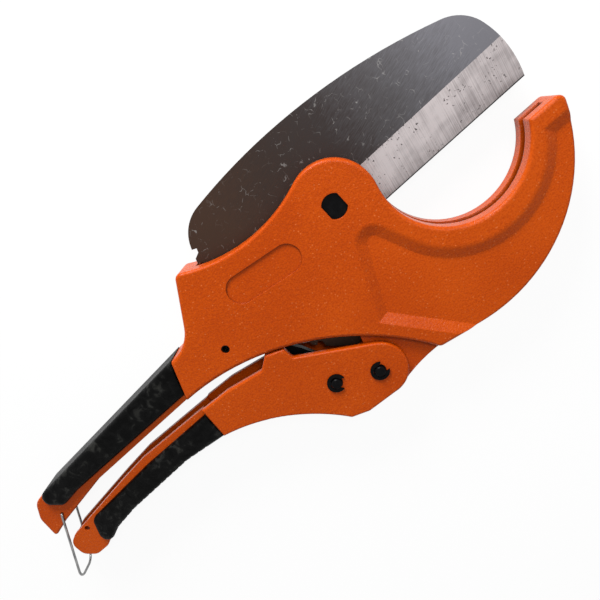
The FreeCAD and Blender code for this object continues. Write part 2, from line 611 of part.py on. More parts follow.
def side_recess_outline():
    """Side panel of the jaw, between the raised rim, the hub's shoulder and the lower flange."""
    level = tip_height - size("recessEndDrop")
    outside = jaw[0] + jaw_radius + size("flangeRun")
    flange_start = (size("flangeX"), -size("flangeDrop"))
    flange_end = (sole_start[0] - size("flangeRun"), sole_start[1] + size("flangeRise"))
    flange_out = towards(flange_end, flange_start, -size("flangeRun"))
    crossing = math.degrees(math.acos((rim_radius + shoulder_radius) / math.dist(rim, shoulder)))
    side = bearing(rim, shoulder) + crossing
    outline = Outline((outside, level))
    outline.line((rim[0] + math.sqrt(rim_radius ** 2 - (level - rim[1]) ** 2), level))
    outline.arc(rim, polar(rim, rim_radius, side), clockwise=True)
    outline.line(polar(shoulder, shoulder_radius, side + 180))
    outline.arc(shoulder, touch_point(shoulder, shoulder_radius, flange_start, -1))
    outline.line(flange_start, flange_out, (outside, flange_out[1] - size("flangeRun")))
    return outline


def panel_outline():
    """Bare racetrack panel beside the hub."""
    near = (size("panelX"), -size("panelDrop"))
    far = polar(near, size("panelLength"), size("panelAngle"))
    radius = size("panelRadius")
    side = bearing(near, far) - 90
    outline = Outline(polar(near, radius, side))
    outline.line(polar(far, radius, side))
    outline.arc(far, polar(far, radius, side + 180))
    outline.line(polar(near, radius, side + 180))
    outline.arc(near, polar(near, radius, side))
    return outline


def spring_pocket_outline():
    """Room in the tongue for the handle spring, open towards the handle's channel."""
    radius = size("springRoom")
    end = handle_pin[0] - size("springRoomEnd")
    outline = Outline(polar(handle_pin, radius, 90))
    outline.line((end, handle_pin[1] + radius), (end, handle_pin[1] - radius))
    outline.line(polar(handle_pin, radius, 270))
    outline.arc(handle_pin, polar(handle_pin, radius, 90))
    return outline


def double_d(extra=0.0):
    """Round with two flats."""
    radius = size("boltDiameter") / 2 + extra
    half = math.degrees(math.acos((size("boltFlats") / 2 + extra) / radius))
    outline = Outline(polar(PIVOT, radius, half))
    outline.arc(PIVOT, polar(PIVOT, radius, 180 - half))
    outline.line(polar(PIVOT, radius, 180 + half))
    outline.arc(PIVOT, polar(PIVOT, radius, -half))
    return outline


# ---------------------------------------------------------------- blade
edge_line = -size("edgeDrop")
back_radius = size("bladeBackRadius")
back = (size("bladeBackX"), size("bladeBackTop") - back_radius)
nose = on_circle(back, back_radius - size("bladeNoseRadius"), size("bladeNoseX"))
tail_radius = size("bladeTailRadius")
tail = circles_meet(back, back_radius - tail_radius, PIVOT, size("toothTipRadius") - tail_radius, 1)
teeth_start = bearing(PIVOT, tail) + size("toothLead")
face_radius = size("bladeFaceRadius")
face = polar(nose, face_radius - size("bladeNoseRadius"), size("bladeFaceAngle"))
blade_tip = (face[0] + math.sqrt(face_radius ** 2 - (edge_line - face[1]) ** 2), edge_line)
blade_tip_radius = max(math.dist(PIVOT, blade_tip), math.dist(PIVOT, face) + face_radius)
tail_end_angle = teeth_start + size("toothPitch") * size("toothCount") + size("tailRun")
tail_end = polar(PIVOT, size("toothTipRadius"), tail_end_angle)
blade_heel = (size("bladeHeelX"), edge_line)
tail_side = bearing(blade_heel, tail_end)


def blade_outline():
    """Edge, nose, back, toothed tail and hub of the blade."""
    tip_radius = size("toothTipRadius")
    root_radius = tip_radius - size("toothDepth")
    pitch = size("toothPitch")
    outline = Outline(blade_tip)
    outline.arc(face, polar(face, face_radius, bearing(face, nose)))
    outline.arc(nose, polar(nose, size("bladeNoseRadius"), bearing(back, nose)))
    outline.arc(back, polar(back, back_radius, bearing(back, tail)))
    outline.arc(tail, polar(PIVOT, tip_radius, bearing(PIVOT, tail)))
    for tooth in range(int(size("toothCount"))):
        start = teeth_start + tooth * pitch
        outline.arc(PIVOT, polar(PIVOT, tip_radius, start))
        outline.line(polar(PIVOT, root_radius, start))
        outline.arc(PIVOT, polar(PIVOT, root_radius, start + pitch * size("toothRoot")))
        outline.line(polar(PIVOT, tip_radius, start + pitch * size("toothFlank")))
    outline.arc(PIVOT, tail_end)
    outline.line(blade_heel)
    return outline


def outer_edges(feature):
    """Edges of both faces, without the end that the upper grip covers."""
    def is_bare(edge):
        return edge.BoundBox.XMin > belly_top[0] + 0.01 or edge.BoundBox.XMax > elbow[0]
    return flat_edges(feature, [0, size("bodyThickness")], is_bare)


def recess_edges(feature):
    """Upper edges of the step between the rim, the shoulder and the jaw's side panels."""
    step = [stretch.toShape() for stretch, forward in side_recess_outline().stretches[1:5]]

    def along_step(edge):
        spot = edge.valueAt((edge.FirstParameter + edge.LastParameter) / 2)
        return min(stretch.distToShape(Part.Vertex(spot.x, spot.y, 0.0))[0] for stretch in step) < 0.01
    return flat_edges(feature, [0, size("bodyThickness")], along_step)


def bare_core_edges(feature):
    """Edges of the fixed handle's core round its bare end."""
    half = size("coreWidth") / 2
    reach = bail_eye[0] + size("coreEndRun")
    return flat_edges(feature, [middle - half, middle + half], lambda edge: edge.BoundBox.XMax < reach)


def sloped_recess(body, name, height, upwards=False):
    """Side panel of the jaw, sunk in one face of the casting, with sloping sides."""
    feature = pocket(body, name, [side_recess_outline()], "Sizes.recessDepth", height, upwards)
    feature.TaperAngle = -math.degrees(math.atan(size("recessSlope") / size("recessDepth")))
    doc.recompute()
    return feature


def make_frame():
    """One casting: hub, slotted jaw, tongue and core of the fixed handle."""
    body = new_body("body_frame")
    outline, tip_inner, tip_outer = casting_outline()
    casting = pad(body, "Casting", outline, FRONT)
    corners = fillet(body, "Corners", casting, lambda f: upright_edges(f, [tip_outer, heel, crown]),
                     "Sizes.cornerRound")
    bend = fillet(body, "ElbowRound", corners, lambda f: upright_edges(f, [elbow]),
                  f"min(Sizes.elbowRound; {widest_round(root_top, elbow, crown)})")
    fillet(body, "OutlineRound", bend, outer_edges, "Sizes.edgeRound")
    pad(body, "Tongue", tongue_outline(), "Sizes.tongueThickness", MIDDLE + " - Sizes.tongueThickness / 2")
    core = pad(body, "Core", fixed_core_outline(), "Sizes.coreWidth", MIDDLE + " - Sizes.coreWidth / 2")
    rounded = fillet(body, "CoreEnd", core, lambda f: upright_edges(f, [core_top, core_end]),
                     f"min(Sizes.fixedEndRound; {widest_round(core_top, core_end, core_low) / 2})")
    shaped = fillet(body, "CoreCorner", rounded, lambda f: upright_edges(f, [core_low]),
                    "Sizes.coreEndCorner")
    fillet(body, "CoreRound", shaped, bare_core_edges, "Sizes.coreEdge")
    pocket(body, "Slot", [slot_outline()], "Sizes.slotWidth", MIDDLE + " + Sizes.slotWidth / 2")
    sloped_recess(body, "FrontRecess", FRONT)
    rear = sloped_recess(body, "RearRecess", "0", upwards=True)
    fillet(body, "RecessRound", rear, recess_edges, "Sizes.recessRound")
    pocket(body, "FrontPanel", [panel_outline()], "Sizes.panelDepth", FRONT)
    pocket(body, "RearPanel", [panel_outline()], "Sizes.panelDepth", "0", upwards=True)
    pocket(body, "BoltHole", [double_d(size("seatPlay") / 2)], MIDDLE, FRONT)
    bore(body, "JournalHole", PIVOT, "Sizes.boltDiameter + Sizes.seatPlay", MIDDLE, "0", upwards=True)
    pocket(body, "SpringPocket", [spring_pocket_outline()], "Sizes.slotWidth",
           MIDDLE + " + Sizes.slotWidth / 2")
    bore(body, "ScrewSeat", PIVOT, "Sizes.screwHeadDiameter + Sizes.headPlay", "Sizes.screwHeadHeight", "0",
         upwards=True)
    bore(body, "HandleBore", handle_pin, "Sizes.handlePinDiameter + Sizes.journalPlay", FRONT, FRONT)
    bore(body, "AnchorBore", anchor, "Sizes.anchorDiameter", FRONT, FRONT)
    bore(body, "BailEye", bail_eye, "Sizes.bailWire + Sizes.wirePlay", FRONT, FRONT)
    return finish(body)


def make_blade():
    """Plate ground to an edge from both sides, with ratchet teeth on its tail."""
    body = new_body("blade")
    pad(body, "Plate", blade_outline(), "Sizes.bladeThickness", MIDDLE + " - Sizes.bladeThickness / 2")
    bore(body, "HubBore", PIVOT, "Sizes.boltDiameter + 2 * Sizes.bushWall", FRONT, FRONT)
    half = size("bladeThickness") / 2
    land = size("edgeLand") / 2
    beyond = 1.0
    for name, side in (("FrontBevel", 1), ("RearBevel", -1)):
        sketch = new_sketch(body, name + "Sketch", "Sizes.bevelStart", "YZ_Plane")
        top = (edge_line + size("bevelWidth"), middle + side * half)
        foot = (edge_line - beyond, middle + side * (land - beyond * (half - land) / size("bevelWidth")))
        outside = middle + side * (half + beyond)
        draw(sketch, Outline(top).line(foot, (foot[0], outside), (top[0], outside)))
        feature = body.newObject("PartDesign::Pocket", name)
        feature.Profile = sketch
        feature.Reversed = True
        feature.setExpression("Length", "4 * Sizes.toothTipRadius")
    return finish(body)


def ring(label, centre, inner, outer, bottom, top):
    """Bush, washer or spacer turned from bar, from its radii and heights."""
    body = new_body(label)
    revolve(body, "Ring", [(inner, bottom), (outer, bottom), (outer, top), (inner, top)])
    body.Placement.Base = vector(centre)
    return finish(body)


def make_blade_bearing():
    """Bush in the blade and a thrust washer on either side of it."""
    journal = size("boltDiameter") / 2
    half = size("bladeThickness") / 2
    running = journal + size("journalPlay") / 2
    ring("blade_bush", PIVOT, running, journal + size("bushWall"), middle - half, middle + half)
    near = half + size("sidePlay")
    far = near + size("washerThickness")
    ring("blade_washer_front", PIVOT, running, size("washerDiameter") / 2, middle + near, middle + far)
    ring("blade_washer_rear", PIVOT, running, size("washerDiameter") / 2, middle - far, middle - near)


def make_pivot_bolt():
    """Round journal with a double-D end, tapped at the rear for the pivot screw."""
    body = new_body("pivot_bolt")
    seat = "Sizes.screwHeadHeight"
    slot_top = MIDDLE + " + Sizes.slotWidth / 2"
    pad(body, "Journal", circle(PIVOT, size("boltDiameter") / 2), f"{slot_top} - ({seat})", seat)
    pad(body, "DoubleD", double_d(), f"{FRONT} - Sizes.boltRecess - ({slot_top})", slot_top)
    bore(body, "ScrewBore", PIVOT, "Sizes.screwDiameter", "2 * Sizes.screwDiameter", seat, upwards=True)
    return finish(body)


def make_pivot_screw():
    """Screw that holds the bolt from the rear: flat head flush with the casting, two spanner holes."""
    body = new_body("pivot_screw")
    head = size("screwHeadDiameter") / 2
    height = size("screwHeadHeight")
    shank = size("screwDiameter") / 2
    end = height + size("screwLength")
    chamfer = size("screwChamfer")
    revolve(body, "Turned", [(0, 0), (head - chamfer, 0), (head, chamfer), (head, height), (shank, height),
                             (shank, end - chamfer), (shank - chamfer, end), (0, end)])
    angle = size("spannerAngle")
    holes = [circle(polar(PIVOT, size("spannerRadius"), turn), size("spannerHole") / 2)
             for turn in (angle, angle + 180)]
    pocket(body, "SpannerHoles", holes, "0.5 * Sizes.screwHeadHeight", "0", upwards=True)
    return finish(body)


# ---------------------------------------------------------------- moving handle
handle_front = middle + handle_width / 2
handle_rear = middle - handle_width / 2
stop_radius = belly_radius - size("stopGap")
stop_front = on_circle(belly, stop_radius, handle_pin[0] - size("stopStart"))
stop_back = on_circle(belly, stop_radius, stop_front[0] - size("stopLength"))
stop_foot = (stop_back[0] - size("stopFootRun"), stop_back[1] - size("stopFootDrop"))
notch = (stop_front[0], stop_front[1] - size("stopStep"))
grip_top = (belly_top[0] + size("neckStart"), belly_top[1] - size("handleGap"))
grip_foot = (grip_top[0] - size("neckLean"), grip_top[1] - size("neckDepth"))
core_foot = towards(grip_foot, grip_top, size("gripCover"))
lap_radius = size("lapRadius")
lap_end = (stop_front[0], handle_pin[1] - size("lapDrop"))
lap = circles_meet(grip_foot, lap_radius, lap_end, lap_radius, -1)
chin = (handle_pin[0] - size("chinRun"), handle_pin[1] - size("cheekRadius") + size("chinRise"))
handle_end = (grip_top[0] - size("movingLength"), -size("movingEndDrop"))
lanyard_eye = (handle_end[0] + size("lanyardRun"), handle_end[1] + size("lanyardRise"))
handle_tail = [handle_end, (handle_end[0], handle_end[1] - size("movingEndHeight")),
               (handle_end[0] + size("movingHeelRun"), handle_end[1] - size("palmHeelDrop"))]
palm = [(handle_end[0] + size(f"palm{name}Run"), handle_end[1] - size(f"palm{name}Drop"))
        for name in ("Heel", "Hollow", "Waist", "Front")]


def handle_head_outline():
    """Cheek: round end at the pin, stop under the casting's belly, and the start of the handle."""
    radius = size("cheekRadius")
    outline = Outline(touch_point(handle_pin, radius, notch, -1))
    outline.line(notch, stop_front)
    outline.arc(belly, stop_back)
    back_end = (grip_top[0] + size("cheekBackRun"), belly_top[1] - size("cheekBackDrop"))
    outline.line(stop_foot, back_end, grip_top, grip_foot)
    outline.arc(lap, lap_end, clockwise=True)
    outline.line(chin, polar(handle_pin, radius, size("cheekFootAngle")))
    outline.arc(handle_pin, outline.start)
    return outline


def handle_core_outline():
    """Core of the moving handle, from the cheeks to its bare end."""
    back_end = (handle_end[0] + size("endTopRun"), handle_end[1] + size("endTopRise"))
    crest = (grip_top[0] - size("backCrestRun"), grip_top[1] + size("backCrestRise"))
    bend = (grip_top[0] - size("backBendRun"), grip_top[1] - size("backBendDrop"))
    outline = Outline(core_foot).line(grip_top, crest, bend, back_end)
    return outline.line(*handle_tail, *palm)


def core_channel_outline():
    """Hollow of that core, open along its inner edge, inside walls and an outer web."""
    wall = size("coreWall")
    left = handle_end[0] + wall
    web = [(x, y + wall) for x, y in palm]
    outline = Outline((core_foot[0] + 2 * wall, core_foot[1] + wall))
    top = belly_top[1]
    outline.line((outline.start[0], top), (left, top), (left, handle_tail[1][1] + wall / 2))
    return outline.line((handle_tail[2][0] + wall / 2, web[0][1]), *web)


def cheek_gap_outline():
    """Space between the cheeks, closed by a web along the lower edge only."""
    web = size("cheekThickness")
    web_end = handle_pin[0] - size("springRoomEnd")
    below = handle_pin[1] - 2 * size("cheekRadius")
    beyond = handle_pin[0] + 2 * size("cheekRadius")
    outline = Outline((web_end, below)).line((web_end, chin[1] + web), (lap_end[0], lap_end[1] + web))
    behind = grip_foot[0] - web
    outline.arc(lap, on_circle(lap, math.dist(lap, outline.point), behind))
    outline.line((behind, belly_top[1]), (handle_pin[0] - size("cheekRadius"), belly_top[1]))
    return outline.line((beyond, handle_pin[1] + 2 * size("cheekRadius")), (beyond, below))


def make_moving_handle():
    """Front of the moving handle: two cheeks astride the tongue, joined by a web along their lower edge."""
    body = new_body("moving_handle")
    head = pad(body, "Head", handle_head_outline(), HANDLE_WIDTH, MIDDLE + f" - {HANDLE_WIDTH} / 2")
    rounded = fillet(body, "HeadCorners", head, lambda f: upright_edges(f, [notch, stop_foot, chin]),
                     "Sizes.cheekCorner")
    fillet(body, "HeadRound", rounded, lambda f: flat_edges(f, [handle_rear, handle_front]),
           "Sizes.cheekEdge")
    pocket(body, "CheekGap", [cheek_gap_outline()], f"{HANDLE_WIDTH} - 2 * Sizes.cheekThickness",
           MIDDLE + f" + {HANDLE_WIDTH} / 2 - Sizes.cheekThickness")
    for name, centre in (("HandlePin", handle_pin), ("PawlPin", pawl_pin)):
        bore(body, name + "Bore", centre, "Sizes.handlePinDiameter + Sizes.seatPlay", HANDLE_WIDTH,
             MIDDLE + f" + {HANDLE_WIDTH} / 2")
        bore(body, name + "Seat", centre, "Sizes.pinHeadDiameter + Sizes.wirePlay",
             "Sizes.pinHeadHeight + Sizes.sidePlay", MIDDLE + f" - {HANDLE_WIDTH} / 2", upwards=True)
    finish(body)


def make_moving_handle_core():
    """Rear of the same casting: the narrower channel inside the grip, with the hole in its end."""
    body = new_body("moving_handle_core")
    core = pad(body, "Core", handle_core_outline(), "Sizes.coreWidth", MIDDLE + " - Sizes.coreWidth / 2")
    fillet(body, "CoreCorners", core, lambda f: upright_edges(f, [*handle_tail, palm[0]]),
           "Sizes.coreEndRound")
    pocket(body, "Channel", [core_channel_outline()], "Sizes.coreWidth - 2 * Sizes.coreWall",
           MIDDLE + " + Sizes.coreWidth / 2 - Sizes.coreWall")
    bore(body, "LanyardHole", lanyard_eye, "Sizes.lanyardDiameter", FRONT, FRONT)
    finish(body)


def make_pin(label, centre):
    """Pin with a flat rear head, and a groove near its chamfered front end."""
    body = new_body(label)
    radius = size("handlePinDiameter") / 2
    head = size("pinHeadDiameter") / 2
    groove = size("grooveDiameter") / 2
    nose = size("pinNose") / 2
    play = size("pinPlay")
    head_chamfer = size("pinHeadChamfer")
    chamfer = size("pinChamfer")
    start = handle_rear + play
    shoulder = start + size("pinHeadHeight")
    clip_start = handle_front + play
    clip_end = clip_start + size("clipThickness") + 2 * play
    end = handle_front + size("pinEnd")
    revolve(body, "Turned", [(0, start), (head - head_chamfer, start), (head, start + head_chamfer),
                             (head, shoulder), (radius, shoulder), (radius, clip_start),
                             (groove, clip_start), (groove, clip_end), (nose, clip_end),
                             (nose, end - chamfer), (nose - chamfer, end), (0, end)])
    body.Placement.Base = vector(centre)
    return finish(body)


def make_clip(label, centre, opening):
    """E-clip: open ring with three tongues that reach into the pin's groove."""
    outer = size("clipDiameter") / 2
    groove = size("grooveDiameter") / 2 + size("pinPlay")
    inner = groove + size("clipRelief")
    mouth = size("clipMouth")
    tongue, tongue_end = size("clipTongue"), size("clipTongueEnd")
    hollow, hollow_end = size("clipHollow"), size("clipHollowEnd")
    back_tongue = size("clipBack")
    body = new_body(label)
    outline = Outline(polar(PIVOT, outer, mouth))
    outline.arc(PIVOT, polar(PIVOT, outer, -mouth))
    outline.line(polar(PIVOT, groove, -tongue))
    outline.arc(PIVOT, polar(PIVOT, groove, -tongue_end), clockwise=True)
    outline.line(polar(PIVOT, inner, -hollow))
    outline.arc(PIVOT, polar(PIVOT, inner, -hollow_end), clockwise=True)
    outline.line(polar(PIVOT, groove, -back_tongue))
    outline.arc(PIVOT, polar(PIVOT, groove, back_tongue), clockwise=True)
    outline.line(polar(PIVOT, inner, hollow_end))
    outline.arc(PIVOT, polar(PIVOT, inner, hollow), clockwise=True)
    outline.line(polar(PIVOT, groove, tongue_end))
    outline.arc(PIVOT, polar(PIVOT, groove, tongue), clockwise=True)
    pad(body, "Sheet", outline, "Sizes.clipThickness", "0")
    body.Placement = FreeCAD.Placement(vector(centre, handle_front + 2 * size("pinPlay")),
                                       FreeCAD.Rotation(FreeCAD.Vector(0, 0, 1), opening))
    return finish(body)


# ---------------------------------------------------------------- pawl
def pawl_outline():
    """Boss round the pin, arm along the tooth arc and a beak at its end."""
    boss = size("pawlBossRadius")
    angle = size("pawlTipAngle")
    tip = size("toothTipRadius") + size("pawlTipGap")
    inner = tip + size("pawlBeak")
    outer = inner + size("pawlWidth")
    inner_end = polar(PIVOT, inner, angle + size("pawlArmAngle"))
    outer_end = polar(PIVOT, outer, angle + size("pawlBackAngle"))
    outline = Outline(polar(PIVOT, tip, angle)).line(polar(PIVOT, inner, angle + size("pawlBeakAngle")))
    outline.arc(PIVOT, inner_end)
    outline.line(touch_point(pawl_pin, boss, inner_end, -1))
    outline.arc(pawl_pin, touch_point(pawl_pin, boss, outer_end, 1), clockwise=True)
    outline.line(outer_end)
    outline.arc(PIVOT, polar(PIVOT, outer, angle + size("pawlNoseAngle")), clockwise=True)
    outline.line(polar(PIVOT, inner, angle - size("pawlNoseAngle")))
    return outline


def make_pawl():
    """Long plate that pushes the blade's teeth, with a spacer on either side of it."""
    body = new_body("pawl")
    pad(body, "Plate", pawl_outline(), "Sizes.pawlThickness", MIDDLE + " - Sizes.pawlThickness / 2")
    bore(body, "PinBore", pawl_pin, "Sizes.handlePinDiameter + Sizes.journalPlay", FRONT, FRONT)
    finish(body)
    inner = size("handlePinDiameter") / 2 + size("journalPlay") / 2
    near = size("pawlThickness") / 2 + size("sidePlay")
    far = handle_width / 2 - size("cheekThickness") - size("sidePlay")
    outer = size("spacerDiameter") / 2
    ring("pawl_spacer_front", pawl_pin, inner, outer, middle + near, middle + far)
    ring("pawl_spacer_rear", pawl_pin, inner, outer, middle - far, middle - near)


# ---------------------------------------------------------------- springs, anchor pin and wire lock
def make_anchor_pin():
    """Rolled spring pin with its slit, across the slot of the casting."""
    body = new_body("spring_anchor_pin")
    radius = (size("anchorDiameter") - size("anchorPlay")) / 2
    inner = radius * (1 - size("anchorWall"))
    slit = size("anchorSlit")
    slit_inside = size("anchorSlitInside")
    outline = Outline(polar(PIVOT, radius, slit))
    outline.arc(PIVOT, polar(PIVOT, radius, -slit))
    outline.line(polar(PIVOT, inner, -slit_inside))
    outline.arc(PIVOT, polar(PIVOT, inner, slit_inside), clockwise=True)
    pad(body, "Rolled", outline, "Sizes.bodyThickness - 2 * Sizes.anchorRecess", "Sizes.anchorRecess")
    body.Placement.Base = vector(anchor)
    return finish(body)


def make_spring(label, centre, inner_radius, first_leg, second_leg, leg_lengths):
    """Torsion spring: close turns round a pin and two straight legs that leave them as tangents."""
    wire = size("springWire")
    radius = inner_radius + wire / 2
    turns = size("springTurns") + ((second_leg - first_leg - 180) % 360) / 360
    pitch = wire * size("springPitch")
    height = pitch * turns
    helix = Part.makeHelix(pitch, height, radius)
    helix.rotate(FreeCAD.Vector(), FreeCAD.Vector(0, 0, 1), first_leg + 90)
    helix.translate(vector(centre, middle - height / 2))
    edges = helix.Edges
    start = edges[0].valueAt(edges[0].FirstParameter)
    leave = edges[0].tangentAt(edges[0].FirstParameter)
    end = edges[-1].valueAt(edges[-1].LastParameter)
    onward = edges[-1].tangentAt(edges[-1].LastParameter)
    first = Part.makeLine(start - leave * leg_lengths[0], start)
    second = Part.makeLine(end, end + onward * leg_lengths[1])
    path = Part.Wire([first] + edges + [second])
    section = Part.Wire(Part.makeCircle(wire / 2, start - leave * leg_lengths[0], leave))
    feature = doc.addObject("Part::Feature", label)
    feature.Label = label
    feature.Shape = path.makePipeShell([section], True, True)
    return feature


def bent_wire(points, bends):
    """Path of straight runs joined by tangent arcs, with a bend radius for each inner point."""
    edges = []
    start = points[0]
    for before, corner, after, bend in zip(points, points[1:], points[2:], bends):
        inward = (before - corner).normalize()
        outward = (after - corner).normalize()
        half = inward.getAngle(outward) / 2
        reach = bend / math.tan(half)
        first = corner + inward * reach
        last = corner + outward * reach
        bisector = (inward + outward).normalize()
        centre = corner + bisector * (bend / math.sin(half))
        edges.append(Part.makeLine(start, first))
        edges.append(Part.Arc(first, centre - bisector * bend, last).toShape())
        start = last
    edges.append(Part.makeLine(start, points[-1]))
    return Part.Wire(edges)


def make_lock_bail():
    """Wire lock: two feet in the eye of the fixed handle, two legs and a closed end."""
    wire = size("bailWire")
    side = size("coreWidth") / 2 + wire / 2 + size("wirePlay")
    foot = size("coreWidth") / 4
    end = polar(bail_eye, size("bailLength"), size("bailAngle"))
    points = [vector(bail_eye, middle + foot), vector(bail_eye, middle + side), vector(end, middle + side),
              vector(end, middle - side), vector(bail_eye, middle - side), vector(bail_eye, middle - foot)]
    bend = size("bailBend")
    nose_bend = size("bailNose")
    path = bent_wire(points, [bend, nose_bend, nose_bend, bend])
    section = Part.Wire(Part.makeCircle(wire / 2, points[0], FreeCAD.Vector(0, 0, 1)))
    feature = doc.addObject("Part::Feature", "lock_bail")
    feature.Label = "lock_bail"
    feature.Shape = path.makePipeShell([section], True, True)
    return feature


# ---------------------------------------------------------------- grips
def grip_sleeve(label, outline, corners, core):
    """Rounded rubber sleeve with the space of the core that it covers."""
    body = new_body(label)
    sleeve = pad(body, "Sleeve", outline, FRONT)
    rounded = fillet(body, "SleeveCorners", sleeve, lambda f: upright_edges(f, corners),
                     "Sizes.gripEndRound")
    fillet(body, "SleeveRound", rounded, lambda f: flat_edges(f, [0, size("bodyThickness")]),
           "Sizes.gripRound")
    pocket(body, "CoreSpace", [core], "Sizes.coreWidth", MIDDLE + " + Sizes.coreWidth / 2")
    return body


def make_upper_grip():
    """Rubber sleeve over the fixed handle's core, open along the inner edge."""
    cover = size("gripCover")
    lip = belly_top[1] + size("gripLip")
    root_length = math.dist(belly_top, root_top)
    root_low = towards(belly_top, root_top, size("gripLip") * root_length / size("rootRise"))
    foot = (bail_eye[0] + size("upperFootRun"), lip - cover / 2)
    corners = [(core_top[0] + size("upperTopRun"), core_top[1] + cover / 2),
               (core_end[0] + size("upperEndRun"), core_end[1] + size("upperEndRise")), foot]
    outline = Outline((root_top[0], root_top[1] + size("gripStand")))
    outline.line(*corners, (foot[0] + size("upperLipRun"), lip), root_low)
    finish(grip_sleeve("upper_grip", outline, corners, fixed_core_outline()))


def make_lower_grip():
    """Rubber sleeve over the moving handle's core, with finger ribs along its outer edge."""
    cover = size("gripCover")
    lip = grip_top[1] - size("gripLip")
    seam = towards(grip_top, grip_foot, size("gripLip"))
    heel_corner = (palm[0][0] + cover, palm[0][1])
    corners = [(handle_end[0] + size("lowerTopRun"), lip - cover),
               (handle_end[0] + size("lowerEndRun"), handle_tail[1][1] + cover), heel_corner]
    edge = [heel_corner, *[(x, y - cover) for x, y in palm[1:]], grip_foot]
    outline = Outline(seam).line((palm[2][0] + size("lowerLipRun"), lip), *corners, *edge[1:])
    body = grip_sleeve("lower_grip", outline, corners, handle_core_outline())
    first = edge[0][0] + size("ribStart")
    step = (edge[-1][0] - size("ribEnd") - first) / (size("ribCount") - 1)
    grooves = []
    for rib in range(int(size("ribCount"))):
        x = first + rib * step
        left, right = next((a, b) for a, b in zip(edge, edge[1:]) if a[0] <= x <= b[0])
        y = left[1] + (right[1] - left[1]) * (x - left[0]) / (right[0] - left[0])
        grooves.append(circle((x, y - size("ribRadius") * size("ribSink")), size("ribRadius")))
    pocket(body, "FingerRibs", grooves, FRONT, FRONT)
    finish(body)


# ---------------------------------------------------------------- build and write
make_frame()
make_blade()
make_blade_bearing()
make_pivot_bolt()
make_pivot_screw()
make_moving_handle()
make_moving_handle_core()
make_pin("handle_pin", handle_pin)
make_pin("pawl_pin", pawl_pin)
make_clip("handle_pin_clip", handle_pin, size("handleClipTurn"))
make_clip("pawl_pin_clip", pawl_pin, size("pawlClipTurn"))
make_pawl()
make_anchor_pin()
make_spring("pawl_spring", anchor, size("anchorDiameter") / 2 + size("sidePlay"), size("pawlSpringAngle"),
            size("pawlSpringEnd"), (size("anchorLeg"), size("anchorLeg")))
make_spring("handle_spring", handle_pin, size("handlePinDiameter") / 2 + 4 * size("sidePlay"),
            size("handleSpringAngle"), size("handleSpringEnd"), (size("handleLeg"), size("pawlLeg")))
make_lock_bail()
make_upper_grip()
make_lower_grip()
doc.recompute()

parts = [item for item in doc.Objects if item.TypeId in ("PartDesign::Body", "Part::Feature")]
for item in doc.Objects:
    if "Invalid" in item.State or "Error" in item.State:
        raise RuntimeError(f"{item.Name} failed: {item.State}")
for part in parts:
    if part.Shape.isNull() or not part.Shape.isValid() or part.Shape.Volume <= 0:
        raise RuntimeError(f"{part.Label} has no valid shape")
os.makedirs("parts", exist_ok=True)
for part in parts:
    part.Shape.exportStep(f"parts/{part.Label}.step")
    print(part.Label, len(part.Shape.Solids), round(part.Shape.Volume, 1))
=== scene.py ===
"""Looks of a ratcheting pipe cutter: powder-coated casting, ground blade, black hardware, rubber grips."""

import bpy
from mathutils import Matrix, Vector


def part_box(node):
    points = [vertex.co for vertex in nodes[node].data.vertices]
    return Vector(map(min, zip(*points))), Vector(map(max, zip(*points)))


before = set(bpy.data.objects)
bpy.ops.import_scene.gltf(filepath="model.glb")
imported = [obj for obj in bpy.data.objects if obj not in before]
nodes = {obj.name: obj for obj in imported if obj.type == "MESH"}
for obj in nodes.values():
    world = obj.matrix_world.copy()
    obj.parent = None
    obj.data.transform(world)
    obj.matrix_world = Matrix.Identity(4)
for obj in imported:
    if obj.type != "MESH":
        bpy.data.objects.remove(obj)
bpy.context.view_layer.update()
bpy.ops.object.select_all(action="DESELECT")

MM = 0.001


# ---------------------------------------------------------------- camera
# Looks down on the front face of the tool, tilted towards its lower edge, with the jaw at the upper right.
VIEW_RIGHT = Vector((0.731261, -0.681912, -0.015925))
VIEW_UP = Vector((0.648291, 0.702087, -0.294608))
VIEW_BACK = Vector((0.212077, 0.205111, 0.955485))
VIEW_POINT = Vector((20.665, 40.508, 325.694)) * MM
LENS_LENGTH = 36.0
SENSOR_WIDTH = 36.0
NEAREST = 0.01
FARTHEST = 20.0


def place_camera():
    data = bpy.data.cameras.new("studio_camera")
    data.lens = LENS_LENGTH
    data.sensor_width = SENSOR_WIDTH
    data.clip_start = NEAREST
    data.clip_end = FARTHEST
    camera = bpy.data.objects.new("studio_camera", data)
    bpy.context.scene.collection.objects.link(camera)
    turned = Matrix((VIEW_RIGHT, VIEW_UP, VIEW_BACK)).transposed().to_4x4()
    camera.matrix_world = Matrix.Translation(VIEW_POINT) @ turned
    bpy.context.scene.camera = camera


place_camera()


# ---------------------------------------------------------------- material helpers
def shade(code):
    """Linear colour of an sRGB hex value."""
    channels = [int(code[place:place + 2], 16) / 255 for place in (1, 3, 5)]
    return [c / 12.92 if c <= 0.04045 else ((c + 0.055) / 1.055) ** 2.4 for c in channels] + [1.0]


def add(tree, kind, sockets=None, stops=(), **settings):
    """Adds a node: settings are its properties, sockets its input values or the outputs linked to them, and
    stops the places from 0 to 1 and the hex colours along a colour ramp."""
    made = tree.nodes.new(kind)
    for name, value in settings.items():
        setattr(made, name, value)
    for name, value in (sockets or {}).items():
        if isinstance(value, bpy.types.NodeSocket):
            tree.links.new(value, made.inputs[name])
        else:
            made.inputs[name].default_value = value
    if stops:
        points = made.color_ramp.elements
        while len(points) < len(stops):
            points.new(0.5)
        for point, (place, code) in zip(points, stops):
            point.position = place
            point.color = shade(code)
    return made


def per(length_mm):
    """Texture scale that gives features about this long, in millimetres."""
    return 1.0 / (length_mm * MM)


